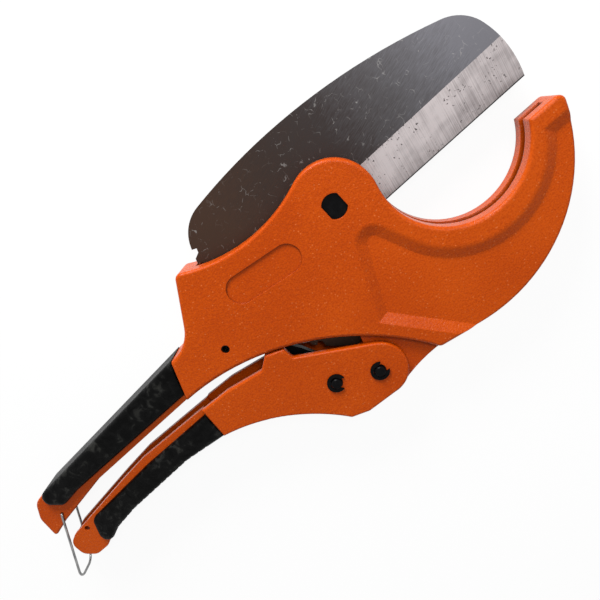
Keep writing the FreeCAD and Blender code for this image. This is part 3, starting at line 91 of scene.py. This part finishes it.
def new_material(name):
    """Empty material with the coordinates of its patterns, those of the object itself."""
    material = bpy.data.materials.new(name)
    material.use_nodes = True
    tree = material.node_tree
    tree.nodes.clear()
    place = add(tree, "ShaderNodeTexCoord").outputs["Object"]
    return material, tree, place


def finish(tree, sockets):
    """Closes a material with its shader, whose sockets are given as for any node."""
    shader = add(tree, "ShaderNodeBsdfPrincipled", sockets)
    add(tree, "ShaderNodeOutputMaterial", {"Surface": shader.outputs["BSDF"]})


def dress(name, material):
    """Gives a CAD node its material."""
    data = nodes[name].data
    data.materials.clear()
    data.materials.append(material)


# ---------------------------------------------------------------- powder coat, sizes in millimetres
# waves of orange peel; the powder's grain of 0.3 mm, drawn three times as coarse so that it shows; and the
# slow drift of the tone over the casting
ORANGE_PEEL = 1.6
POWDER_GRAIN = 0.9
TONE_DRIFT = 55.0
# spacing of the painted glints, pale dots that stand in for light sparkling on the powder
GLINT_SPACING = 1.7
# hollows up to this wide get painted shade
HOLLOW_WIDTH = 12.0
# radius to which the coat softens cast edges, and the one round the jaw's recess and cradle
CAST_EDGE = 0.6
JAW_EDGE = 1.8
# the jaw's recess begins this far forward of the blade's pivot, and its wider edges fade in just before it
JAW_START = 22.0
JAW_FADE = 8.0
COAT_TONES = [(0.38, "#A43A02"), (0.5, "#B04203"), (0.62, "#BB4B07")]
# colour of the painted glints
GLINT_COLOUR = "#F0975C"
# colour of the painted shade in the hollows
HOLLOW_SHADE_COLOUR = "#451404"


def powder_coat():
    """Polyester powder coat on die-cast aluminium: saturated orange, half gloss, with the fine speckle of a
    textured powder, pale painted glints, softly rounded cast edges and painted shade in the hollows."""
    material, tree, place = new_material("powder_coated_casting")
    peel = add(tree, "ShaderNodeTexNoise", {"Vector": place, "Scale": per(ORANGE_PEEL), "Detail": 2.0,
                                            "Roughness": 0.55}).outputs["Fac"]
    grain = add(tree, "ShaderNodeTexNoise", {"Vector": place, "Scale": per(POWDER_GRAIN), "Detail": 2.0,
                                             "Roughness": 0.65}).outputs["Fac"]
    cloud = add(tree, "ShaderNodeTexNoise", {"Vector": place, "Scale": per(TONE_DRIFT), "Detail": 2.0,
                                             "Roughness": 0.5}).outputs["Fac"]
    tone = add(tree, "ShaderNodeMath", {0: grain, 1: 0.6}, operation="MULTIPLY").outputs[0]
    tone = add(tree, "ShaderNodeMath", {0: cloud, 1: 0.4, 2: tone}, operation="MULTIPLY_ADD").outputs[0]
    orange = add(tree, "ShaderNodeValToRGB", {"Fac": tone}, stops=COAT_TONES).outputs["Color"]

    # painted glints: pale dots about 0.6 mm across, in one cell of four, stand in for light sparkling on
    # the powder
    cells = add(tree, "ShaderNodeTexVoronoi", {"Vector": place, "Scale": per(GLINT_SPACING)})
    draw = add(tree, "ShaderNodeSeparateColor", {"Color": cells.outputs["Color"]}).outputs["Green"]
    chosen = add(tree, "ShaderNodeMath", {0: draw, 1: 0.72}, operation="GREATER_THAN").outputs[0]
    spot = add(tree, "ShaderNodeMapRange", {"Value": cells.outputs["Distance"], "From Min": 0.1,
                                            "From Max": 0.26, "To Min": 0.3,
                                            "To Max": 0.0}).outputs["Result"]
    glint = add(tree, "ShaderNodeMath", {0: spot, 1: chosen}, operation="MULTIPLY").outputs[0]
    glinted = add(tree, "ShaderNodeMix", {"Factor": glint, "A": orange, "B": shade(GLINT_COLOUR)},
                  data_type="RGBA").outputs["Result"]

    # painted shade: hollows are drawn darker, as shade falls in them
    open_sky = add(tree, "ShaderNodeAmbientOcclusion", {"Distance": HOLLOW_WIDTH * MM}, samples=8,
                   only_local=True).outputs["AO"]
    painted_shade = add(tree, "ShaderNodeMapRange", {"Value": open_sky, "From Min": 0.15, "From Max": 0.85,
                                             "To Min": 0.85, "To Max": 0.0}).outputs["Result"]
    colour = add(tree, "ShaderNodeMix", {"Factor": painted_shade, "A": glinted, "B": shade(HOLLOW_SHADE_COLOUR)},
                 data_type="RGBA").outputs["Result"]

    # cast edges look rounded, more widely round the jaw's recess and cradle
    along = add(tree, "ShaderNodeSeparateXYZ", {"Vector": place}).outputs["X"]
    radius = add(tree, "ShaderNodeMapRange", {"Value": along, "From Min": (JAW_START - JAW_FADE) * MM,
                                              "From Max": JAW_START * MM, "To Min": CAST_EDGE * MM,
                                              "To Max": JAW_EDGE * MM}).outputs["Result"]
    relief = add(tree, "ShaderNodeBevel", {"Radius": radius}, samples=6).outputs["Normal"]
    relief = add(tree, "ShaderNodeBump", {"Height": peel, "Strength": 0.8, "Distance": 0.2 * MM,
                                          "Normal": relief}).outputs["Normal"]
    relief = add(tree, "ShaderNodeBump", {"Height": grain, "Strength": 0.8, "Distance": 0.16 * MM,
                                          "Normal": relief}).outputs["Normal"]
    gloss = add(tree, "ShaderNodeMapRange", {"Value": grain, "From Min": 0.3, "From Max": 0.7,
                                             "To Min": 0.22, "To Max": 0.36}).outputs["Result"]
    finish(tree, {"Base Color": colour, "Roughness": gloss, "Normal": relief, "Specular IOR Level": 0.11})
    return material


# ---------------------------------------------------------------- blade, in millimetres from its pivot
# the bevel is ground below BEVEL_TOP and forward of BEVEL_END; its cutting edge lies along EDGE_LINE, with
# a honed lip drawn dark as painted shade, and a painted reflection draws the steel darker towards it
BEVEL_TOP = 5.2
BEVEL_END = 19.0
EDGE_LINE = -17.2
HONED_LIP = 0.6
EDGE_SHADE = 13.0
# the coating drifts from brown at the tail to lighter grey at the nose, partly its tone and partly painted
# sheen, under mottling and a brushed grain that is turned from the blade's length by so many radians
TAIL_END = -60.0
NOSE_END = 105.0
MOTTLING = 12.0
BRUSH_WIDTH = 0.5
BRUSH_LENGTH = 5.0
BRUSH_TURN = 0.28
# wear comes in patches; hairlines are the threads of a web, which sways by a wave and is broken into runs
WORN_PATCH = 12.0
HAIRLINE_BEND = 4.0
HAIRLINE_SWAY = 5.0
HAIRLINE_WEB = 7.0
HAIRLINE_RUN = 2.6
SPECK_SIZE = 0.9
# lines and slow sheen of the grinding; the lines are turned from square to the edge by so many radians
GRIND_WIDTH = 0.4
GRIND_LENGTH = 26.0
GRIND_DEPTH = 40.0
GRIND_TURN = -0.18
SHEEN_SIZE = (22.0, 9.0, 30.0)
# a nick sits in each cell of this spacing, pushed about by a short wave so that its outline is ragged
NICK_WOBBLE = 0.9
NICK_SWAY = 2.2
NICK_SPACING = 1.7
COATING_AND_SHEEN_TONES = [(0.06, "#3D2C23"), (0.3, "#312723"), (0.5, "#2F2928"), (0.72, "#464446"),
                 (0.94, "#5F5E63")]
SCRATCH_COLOUR = "#A8A5A2"
GROUND_TONES = [(0.25, "#6B6464"), (0.44, "#948D8D"), (0.6, "#B0A8A8")]
NICK_COLOUR = "#4E4848"
HONED_LIP_SHADE = "#2E2B2C"


def baked_coating(tree, place, along, mottle):
    """Colour of the coating: warm brown at the tail to lighter, neutral grey at the nose, partly painted
    sheen;
    mottled, with a fine brushed grain slightly across the blade, drawn wider than it is so that it shows."""
    laid = add(tree, "ShaderNodeMapping", {
        "Vector": place, "Rotation": (0.0, 0.0, BRUSH_TURN),
        "Scale": (BRUSH_LENGTH * MM, BRUSH_WIDTH * MM, BRUSH_LENGTH * MM)},
        vector_type="TEXTURE").outputs["Vector"]
    brushed = add(tree, "ShaderNodeTexNoise", {"Vector": laid, "Scale": 1.0, "Detail": 3.0,
                                               "Roughness": 0.65}).outputs["Fac"]
    # lighter towards the nose: partly the coating's tone, partly painted sheen
    drift = add(tree, "ShaderNodeMapRange", {"Value": along, "From Min": TAIL_END * MM,
                                             "From Max": NOSE_END * MM, "To Min": -0.25,
                                             "To Max": 0.75}).outputs["Result"]
    drift = add(tree, "ShaderNodeMath", {0: mottle, 1: 0.16, 2: drift}, operation="MULTIPLY_ADD").outputs[0]
    drift = add(tree, "ShaderNodeMath", {0: brushed, 1: 0.34, 2: drift},
                operation="MULTIPLY_ADD").outputs[0]
    return add(tree, "ShaderNodeValToRGB", {"Fac": drift}, stops=COATING_AND_SHEEN_TONES).outputs["Color"]


def handling_marks(tree, place, patches):
    """Share of bare metal in the coating's scratches, drawn 0.25 mm wide so that they show: curved
    hairlines broken into short runs, and small pale specks between them, most of both in worn patches."""
    patch_weight = add(tree, "ShaderNodeMapRange", {"Value": patches, "From Min": 0.46, "From Max": 0.64,
                                            "To Min": 0.05, "To Max": 0.4}).outputs["Result"]
    bent = add(tree, "ShaderNodeTexNoise", {"Vector": place, "Scale": per(HAIRLINE_BEND), "Detail": 1.0,
                                            "Roughness": 0.5}).outputs["Color"]
    bent = add(tree, "ShaderNodeVectorMath", {0: bent, "Scale": HAIRLINE_SWAY * MM},
               operation="SCALE").outputs[0]
    bent = add(tree, "ShaderNodeVectorMath", {0: bent, 1: place}, operation="ADD").outputs[0]
    web = add(tree, "ShaderNodeTexVoronoi", {"Vector": bent, "Scale": per(HAIRLINE_WEB)},
              feature="DISTANCE_TO_EDGE").outputs["Distance"]
    hair = add(tree, "ShaderNodeMapRange", {"Value": web, "From Min": 0.004, "From Max": 0.028,
                                            "To Min": 1.0, "To Max": 0.0}).outputs["Result"]
    breaks = add(tree, "ShaderNodeTexNoise", {"Vector": place, "Scale": per(HAIRLINE_RUN), "Detail": 1.0,
                                              "Roughness": 0.5}).outputs["Fac"]
    run = add(tree, "ShaderNodeMapRange", {"Value": breaks, "From Min": 0.52,
                                           "From Max": 0.6}).outputs["Result"]
    hairline = add(tree, "ShaderNodeMath", {0: hair, 1: run}, operation="MULTIPLY").outputs[0]
    dots = add(tree, "ShaderNodeTexNoise", {"Vector": place, "Scale": per(SPECK_SIZE), "Detail": 3.0,
                                            "Roughness": 0.75}).outputs["Fac"]
    speck = add(tree, "ShaderNodeMapRange", {"Value": dots, "From Min": 0.66,
                                             "From Max": 0.76}).outputs["Result"]
    marks = add(tree, "ShaderNodeMath", {0: hairline, 1: speck}, operation="MAXIMUM").outputs[0]
    return add(tree, "ShaderNodeMath", {0: marks, 1: patch_weight}, operation="MULTIPLY").outputs[0]


def grinding_lines(tree, place):
    """Lines of the bevel's grinding, nearly square to the edge."""
    lined = add(tree, "ShaderNodeMapping", {
        "Vector": place, "Rotation": (0.0, 0.0, GRIND_TURN),
        "Scale": (GRIND_WIDTH * MM, GRIND_LENGTH * MM, GRIND_DEPTH * MM)},
        vector_type="TEXTURE").outputs["Vector"]
    return add(tree, "ShaderNodeTexNoise", {"Vector": lined, "Scale": 1.0, "Detail": 3.0,
                                            "Roughness": 0.6}).outputs["Fac"]


def ground_bevel(tree, place, across, patches, lines):
    """Colour of the bevel: bare steel under a slow painted sheen, with a painted reflection darker towards
    the edge, ragged dark nicks crowded together in places and a honed lip drawn dark as painted shade."""
    slow = add(tree, "ShaderNodeMapping", {
        "Vector": place, "Scale": tuple(per(length) for length in SHEEN_SIZE)}).outputs["Vector"]
    sheen = add(tree, "ShaderNodeTexNoise", {"Vector": slow, "Scale": 1.0, "Detail": 2.0,
                                             "Roughness": 0.5}).outputs["Fac"]
    # painted reflection: darker towards the edge, where the hollow grind mirrors dark surroundings
    tone = add(tree, "ShaderNodeMapRange", {"Value": across, "From Min": EDGE_LINE * MM,
                                            "From Max": (EDGE_LINE + EDGE_SHADE) * MM,
                                            "To Min": -0.13, "To Max": 0.03}).outputs["Result"]
    tone = add(tree, "ShaderNodeMath", {0: lines, 1: 0.5, 2: tone}, operation="MULTIPLY_ADD").outputs[0]
    tone = add(tree, "ShaderNodeMath", {0: sheen, 1: 0.5, 2: tone}, operation="MULTIPLY_ADD").outputs[0]
    bright = add(tree, "ShaderNodeValToRGB", {"Fac": tone}, stops=GROUND_TONES).outputs["Color"]

    # nicks up to 1 mm across, most of them about 0.3 mm
    wobble = add(tree, "ShaderNodeTexNoise", {"Vector": place, "Scale": per(NICK_WOBBLE), "Detail": 2.0,
                                              "Roughness": 0.7}).outputs["Color"]
    pushed = add(tree, "ShaderNodeVectorMath", {0: wobble, "Scale": NICK_SWAY * MM},
                 operation="SCALE").outputs[0]
    pushed = add(tree, "ShaderNodeVectorMath", {0: pushed, 1: place}, operation="ADD").outputs[0]
    cells = add(tree, "ShaderNodeTexVoronoi", {"Vector": pushed, "Scale": per(NICK_SPACING)})
    draw = add(tree, "ShaderNodeSeparateColor", {"Color": cells.outputs["Color"]}).outputs["Red"]
    crowd = add(tree, "ShaderNodeMapRange", {"Value": patches, "From Min": 0.4, "From Max": 0.6,
                                             "To Min": 0.08, "To Max": 0.36}).outputs["Result"]
    reach = add(tree, "ShaderNodeMath", {0: draw, 1: crowd}, operation="MULTIPLY").outputs[0]
    nick = add(tree, "ShaderNodeMath", {0: cells.outputs["Distance"], 1: reach},
               operation="LESS_THAN").outputs[0]
    nicked = add(tree, "ShaderNodeMix", {"Factor": nick, "A": bright, "B": shade(NICK_COLOUR)},
                 data_type="RGBA").outputs["Result"]
    # painted shade: the honed lip along the edge is drawn dark, as it catches little light
    lip = add(tree, "ShaderNodeMath", {0: across, 1: (EDGE_LINE + HONED_LIP) * MM},
              operation="LESS_THAN").outputs[0]
    return add(tree, "ShaderNodeMix", {"Factor": lip, "A": nicked, "B": shade(HONED_LIP_SHADE)},
               data_type="RGBA").outputs["Result"]


def blade_steel():
    """Hardened plate with a dark baked coating, browner near the tail, with fine pale handling scratches;
    the bevel below is bare ground steel with grinding lines nearly square to the edge and dark nicks."""
    material, tree, place = new_material("coated_tool_steel")
    axes = add(tree, "ShaderNodeSeparateXYZ", {"Vector": place})
    along = axes.outputs["X"]
    across = axes.outputs["Y"]
    below = add(tree, "ShaderNodeMath", {0: across, 1: BEVEL_TOP * MM}, operation="LESS_THAN").outputs[0]
    beyond = add(tree, "ShaderNodeMath", {0: along, 1: BEVEL_END * MM}, operation="GREATER_THAN").outputs[0]
    ground = add(tree, "ShaderNodeMath", {0: below, 1: beyond}, operation="MULTIPLY").outputs[0]
    mottle = add(tree, "ShaderNodeTexNoise", {"Vector": place, "Scale": per(MOTTLING), "Detail": 4.0,
                                              "Roughness": 0.6}).outputs["Fac"]
    patches = add(tree, "ShaderNodeTexNoise", {"Vector": place, "Scale": per(WORN_PATCH), "Detail": 2.0,
                                               "Roughness": 0.6}).outputs["Fac"]

    coating = baked_coating(tree, place, along, mottle)
    scratches = handling_marks(tree, place, patches)
    scratched = add(tree, "ShaderNodeMix", {"Factor": scratches, "A": coating, "B": shade(SCRATCH_COLOUR)},
                    data_type="RGBA").outputs["Result"]
    lines = grinding_lines(tree, place)
    bevel = ground_bevel(tree, place, across, patches, lines)
    colour = add(tree, "ShaderNodeMix", {"Factor": ground, "A": scratched, "B": bevel},
                 data_type="RGBA").outputs["Result"]
    gloss = add(tree, "ShaderNodeMapRange", {"Value": mottle, "To Min": 0.42,
                                             "To Max": 0.56}).outputs["Result"]
    height = add(tree, "ShaderNodeMix", {"Factor": ground, "A": scratches, "B": lines},
                 data_type="FLOAT").outputs["Result"]
    relief = add(tree, "ShaderNodeBump", {"Height": height, "Strength": 0.3,
                                          "Distance": 0.02 * MM}).outputs["Normal"]
    finish(tree, {"Base Color": colour, "Roughness": gloss, "Normal": relief, "Metallic": 0.85})
    return material


# ---------------------------------------------------------------- other finishes, sizes in millimetres
# a wave texture draws its rings this share of its scale's length apart
RING_SHARE = 0.314159
RING_SPACING = 3.14
OXIDE_BLOOM = 2.0
OXIDE_TONES = [(0.3, "#020203"), (0.55, "#060607"), (0.8, "#0C0C0E")]

MOULD_GRAIN = 0.9
RUBBER_FOLDS = 5.0
# patches of painted highlight and of uneven gloss; the lighter rubber tones are painted highlights on the
# folds
RUB_AND_HIGHLIGHT_PATCH = 14.0
RUBBER_TONES_AND_HIGHLIGHTS = [(0.42, "#010101"), (0.54, "#090909"), (0.66, "#2A2A28")]

DIE_LINE_LENGTH = 6.0
DIE_LINE_WIDTH = 0.3
# direction in which the lock's wire hangs, in radians
WIRE_TURN = 0.97

BLASTED_GRAIN = 0.5
HEAT_TINT = 9.0
SCALE_TONES = [(0.3, "#0B0B0C"), (0.5, "#111113"), (0.7, "#19191B")]

PORE_SPACING = 0.3
BRONZE_TONES = [(0.1, "#5A4424"), (0.4, "#8C6E3C"), (0.8, "#A2834C")]


def turned_black_oxide(name, centre):
    """Turned steel under black oxide: nearly black, satin, with faint turning rings round its own axis,
    drawn much further apart than the real feed."""
    material, tree, place = new_material("black_oxide_" + name)
    centred = add(tree, "ShaderNodeMapping", {"Vector": place,
                                              "Location": (-centre[0], -centre[1], 0.0)}).outputs["Vector"]
    rings = add(tree, "ShaderNodeTexWave", {"Vector": centred, "Scale": per(RING_SPACING) * RING_SHARE,
                                            "Distortion": 0.4, "Detail": 1.0},
                wave_type="RINGS", rings_direction="Z").outputs["Fac"]
    bloom = add(tree, "ShaderNodeTexNoise", {"Vector": place, "Scale": per(OXIDE_BLOOM), "Detail": 3.0,
                                             "Roughness": 0.6}).outputs["Fac"]
    colour = add(tree, "ShaderNodeValToRGB", {"Fac": bloom}, stops=OXIDE_TONES).outputs["Color"]
    gloss = add(tree, "ShaderNodeMapRange", {"Value": bloom, "To Min": 0.26,
                                             "To Max": 0.48}).outputs["Result"]
    relief = add(tree, "ShaderNodeBump", {"Height": rings, "Strength": 0.2,
                                          "Distance": 0.02 * MM}).outputs["Normal"]
    finish(tree, {"Base Color": colour, "Roughness": gloss, "Normal": relief, "Specular IOR Level": 0.06})
    return material


def moulded_rubber():
    """Injection-moulded nitrile rubber: deep black, dull, with a fine leathery grain from the mould, slow
    folds, painted highlights that draw their ridges and some patches lighter, and patches of uneven gloss."""
    material, tree, place = new_material("moulded_nitrile_rubber")
    grain = add(tree, "ShaderNodeTexVoronoi", {"Vector": place, "Scale": per(MOULD_GRAIN)},
                feature="SMOOTH_F1").outputs["Distance"]
    folds = add(tree, "ShaderNodeTexNoise", {"Vector": place, "Scale": per(RUBBER_FOLDS), "Detail": 3.0,
                                             "Roughness": 0.55, "Distortion": 0.8}).outputs["Fac"]
    rub_and_highlight = add(tree, "ShaderNodeTexNoise", {"Vector": place, "Scale": per(RUB_AND_HIGHLIGHT_PATCH), "Detail": 2.0,
                                           "Roughness": 0.5}).outputs["Fac"]
    # painted highlight: fold ridges and some patches are drawn lighter, as lit folds
    patch_weight = add(tree, "ShaderNodeMath", {0: rub_and_highlight, 1: 0.4}, operation="MULTIPLY").outputs[0]
    patch_weight = add(tree, "ShaderNodeMath", {0: folds, 1: 0.6, 2: patch_weight}, operation="MULTIPLY_ADD").outputs[0]
    colour = add(tree, "ShaderNodeValToRGB", {"Fac": patch_weight}, stops=RUBBER_TONES_AND_HIGHLIGHTS).outputs["Color"]
    gloss = add(tree, "ShaderNodeMapRange", {"Value": rub_and_highlight, "To Min": 0.32, "To Max": 0.5}).outputs["Result"]
    relief = add(tree, "ShaderNodeBump", {"Height": folds, "Strength": 0.6,
                                          "Distance": 0.8 * MM}).outputs["Normal"]
    relief = add(tree, "ShaderNodeBump", {"Height": grain, "Strength": 0.3, "Distance": 0.1 * MM,
                                          "Normal": relief}).outputs["Normal"]
    finish(tree, {"Base Color": colour, "Roughness": gloss, "Normal": relief, "Specular IOR Level": 0.06})
    return material


def drawn_wire(name, dark, light, roughness):
    """Cold-drawn steel wire: die lines along the lock's wire, drawn wider than they are so that they show,
    and a slightly uneven plated tone."""
    material, tree, place = new_material(name)
    streaks = add(tree, "ShaderNodeMapping", {
        "Vector": place, "Rotation": (0.0, 0.0, WIRE_TURN),
        "Scale": (DIE_LINE_LENGTH * MM, DIE_LINE_WIDTH * MM, DIE_LINE_WIDTH * MM)},
        vector_type="TEXTURE").outputs["Vector"]
    lines = add(tree, "ShaderNodeTexNoise", {"Vector": streaks, "Scale": 1.0, "Detail": 2.0,
                                             "Roughness": 0.6}).outputs["Fac"]
    colour = add(tree, "ShaderNodeValToRGB", {"Fac": lines},
                 stops=[(0.35, dark), (0.65, light)]).outputs["Color"]
    relief = add(tree, "ShaderNodeBump", {"Height": lines, "Strength": 0.15,
                                          "Distance": 0.02 * MM}).outputs["Normal"]
    finish(tree, {"Base Color": colour, "Roughness": roughness, "Normal": relief, "Metallic": 1.0})
    return material


def hardened_plate():
    """Stamped and hardened steel plate: dark blue-grey heat scale in slowly drifting tints, with a fine
    blasted grain."""
    material, tree, place = new_material("hardened_steel_plate")
    grain = add(tree, "ShaderNodeTexNoise", {"Vector": place, "Scale": per(BLASTED_GRAIN), "Detail": 2.0,
                                             "Roughness": 0.6}).outputs["Fac"]
    tint = add(tree, "ShaderNodeTexNoise", {"Vector": place, "Scale": per(HEAT_TINT), "Detail": 3.0,
                                            "Roughness": 0.6}).outputs["Fac"]
    colour = add(tree, "ShaderNodeValToRGB", {"Fac": tint}, stops=SCALE_TONES).outputs["Color"]
    relief = add(tree, "ShaderNodeBump", {"Height": grain, "Strength": 0.3,
                                          "Distance": 0.03 * MM}).outputs["Normal"]
    finish(tree, {"Base Color": colour, "Roughness": 0.5, "Normal": relief, "Metallic": 0.9})
    return material


def sintered_bronze():
    """Oil-soaked sintered bronze: dull yellow-brown with open pores."""
    material, tree, place = new_material("sintered_bronze")
    pores = add(tree, "ShaderNodeTexVoronoi", {"Vector": place,
                                               "Scale": per(PORE_SPACING)}).outputs["Distance"]
    colour = add(tree, "ShaderNodeValToRGB", {"Fac": pores}, stops=BRONZE_TONES).outputs["Color"]
    relief = add(tree, "ShaderNodeBump", {"Height": pores, "Strength": 0.3,
                                          "Distance": 0.03 * MM}).outputs["Normal"]
    finish(tree, {"Base Color": colour, "Roughness": 0.48, "Normal": relief, "Metallic": 0.9})
    return material


# ---------------------------------------------------------------- dressing of the pieces
casting_coat = powder_coat()
for cast_piece in ("body_frame", "moving_handle", "moving_handle_core"):
    dress(cast_piece, casting_coat)
dress("blade", blade_steel())
dress("blade_bush", sintered_bronze())
rubber = moulded_rubber()
for grip in ("upper_grip", "lower_grip"):
    dress(grip, rubber)
dress("pawl", hardened_plate())
dress("lock_bail", drawn_wire("zinc_plated_wire", "#5A5B5E", "#A3A3A1", 0.24))
spring_wire = drawn_wire("music_wire", "#3C3C3E", "#626264", 0.34)
for spring in ("pawl_spring", "handle_spring"):
    dress(spring, spring_wire)
for turned_piece in ("blade_washer_front", "blade_washer_rear", "pivot_bolt", "pivot_screw",
                     "handle_pin", "handle_pin_clip", "pawl_pin", "pawl_pin_clip",
                     "pawl_spacer_front", "pawl_spacer_rear", "spring_anchor_pin"):
    low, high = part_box(turned_piece)
    dress(turned_piece, turned_black_oxide(turned_piece, (low + high) / 2))


# ---------------------------------------------------------------- floor and light
WHITE = (1.0, 1.0, 1.0, 1.0)
FLOOR_SIZE = 6.0
# the floor lies this far under the tool, so that it never shows through the rear face
FLOOR_GAP = 0.6 * MM
FLOOR_COLOUR = "#F4F4F4"
# share of plain white where the floor is seen; the rest keeps the tool's shadow
FLOOR_WHITE = 0.93
# strength of the light from all round, where what is seen of the room has 1
ROOM_LEVEL = 0.36
TOOL_MIDDLE = Vector((-0.06, -0.02, 0.0125))
KEY_PLACE = TOOL_MIDDLE + 0.55 * VIEW_UP + 0.5 * VIEW_BACK - 0.3 * VIEW_RIGHT
KEY_POWER = 9.0
KEY_SIZE = 0.35
FRONT_PLACE = TOOL_MIDDLE + 0.9 * VIEW_BACK + 0.2 * VIEW_UP + 0.1 * VIEW_RIGHT
FRONT_POWER = 2.8
FRONT_SIZE = 0.25


def seen(tree):
    """1 in straight view, in reflections and through glass, 0 for light that falls on a surface."""
    ray = add(tree, "ShaderNodeLightPath").outputs
    shown = add(tree, "ShaderNodeMath", {0: ray["Is Camera Ray"], 1: ray["Is Glossy Ray"]},
                operation="MAXIMUM").outputs[0]
    return add(tree, "ShaderNodeMath", {0: shown, 1: ray["Is Transmission Ray"]},
               operation="MAXIMUM").outputs[0]


def make_floor():
    bpy.ops.mesh.primitive_plane_add(size=FLOOR_SIZE, location=(0.0, 0.0, -FLOOR_GAP))
    floor = bpy.context.object
    floor.name = "studio_floor"
    material = bpy.data.materials.new("white_table")
    material.use_nodes = True
    tree = material.node_tree
    tree.nodes.clear()
    matt = add(tree, "ShaderNodeBsdfDiffuse", {"Color": shade(FLOOR_COLOUR)}).outputs[0]
    share = add(tree, "ShaderNodeMath", {0: seen(tree), 1: FLOOR_WHITE}, operation="MULTIPLY").outputs[0]
    white = add(tree, "ShaderNodeEmission", {"Color": WHITE, "Strength": 1.0}).outputs[0]
    surface = add(tree, "ShaderNodeMixShader", {0: share, 1: matt, 2: white}).outputs[0]
    add(tree, "ShaderNodeOutputMaterial", {"Surface": surface})
    floor.data.materials.append(material)


def make_world():
    world = bpy.data.worlds.new("studio_world")
    world.use_nodes = True
    tree = world.node_tree
    tree.nodes.clear()
    level = add(tree, "ShaderNodeMix", {"Factor": seen(tree), "A": ROOM_LEVEL, "B": 1.0},
                data_type="FLOAT").outputs["Result"]
    sky = add(tree, "ShaderNodeBackground", {"Color": WHITE, "Strength": level}).outputs[0]
    add(tree, "ShaderNodeOutputWorld", {"Surface": sky})
    bpy.context.scene.world = world


def add_lamp(name, place, power, size):
    """Round soft lamp that faces the tool."""
    data = bpy.data.lights.new(name, "AREA")
    data.energy = power
    data.shape = "DISK"
    data.size = size
    lamp = bpy.data.objects.new(name, data)
    bpy.context.scene.collection.objects.link(lamp)
    lamp.location = place
    lamp.rotation_euler = (TOOL_MIDDLE - place).to_track_quat("-Z", "Y").to_euler()


make_floor()
make_world()
add_lamp("key_softbox", KEY_PLACE, KEY_POWER, KEY_SIZE)
add_lamp("front_softbox", FRONT_PLACE, FRONT_POWER, FRONT_SIZE)
bpy.context.scene.view_settings.view_transform = "Standard"
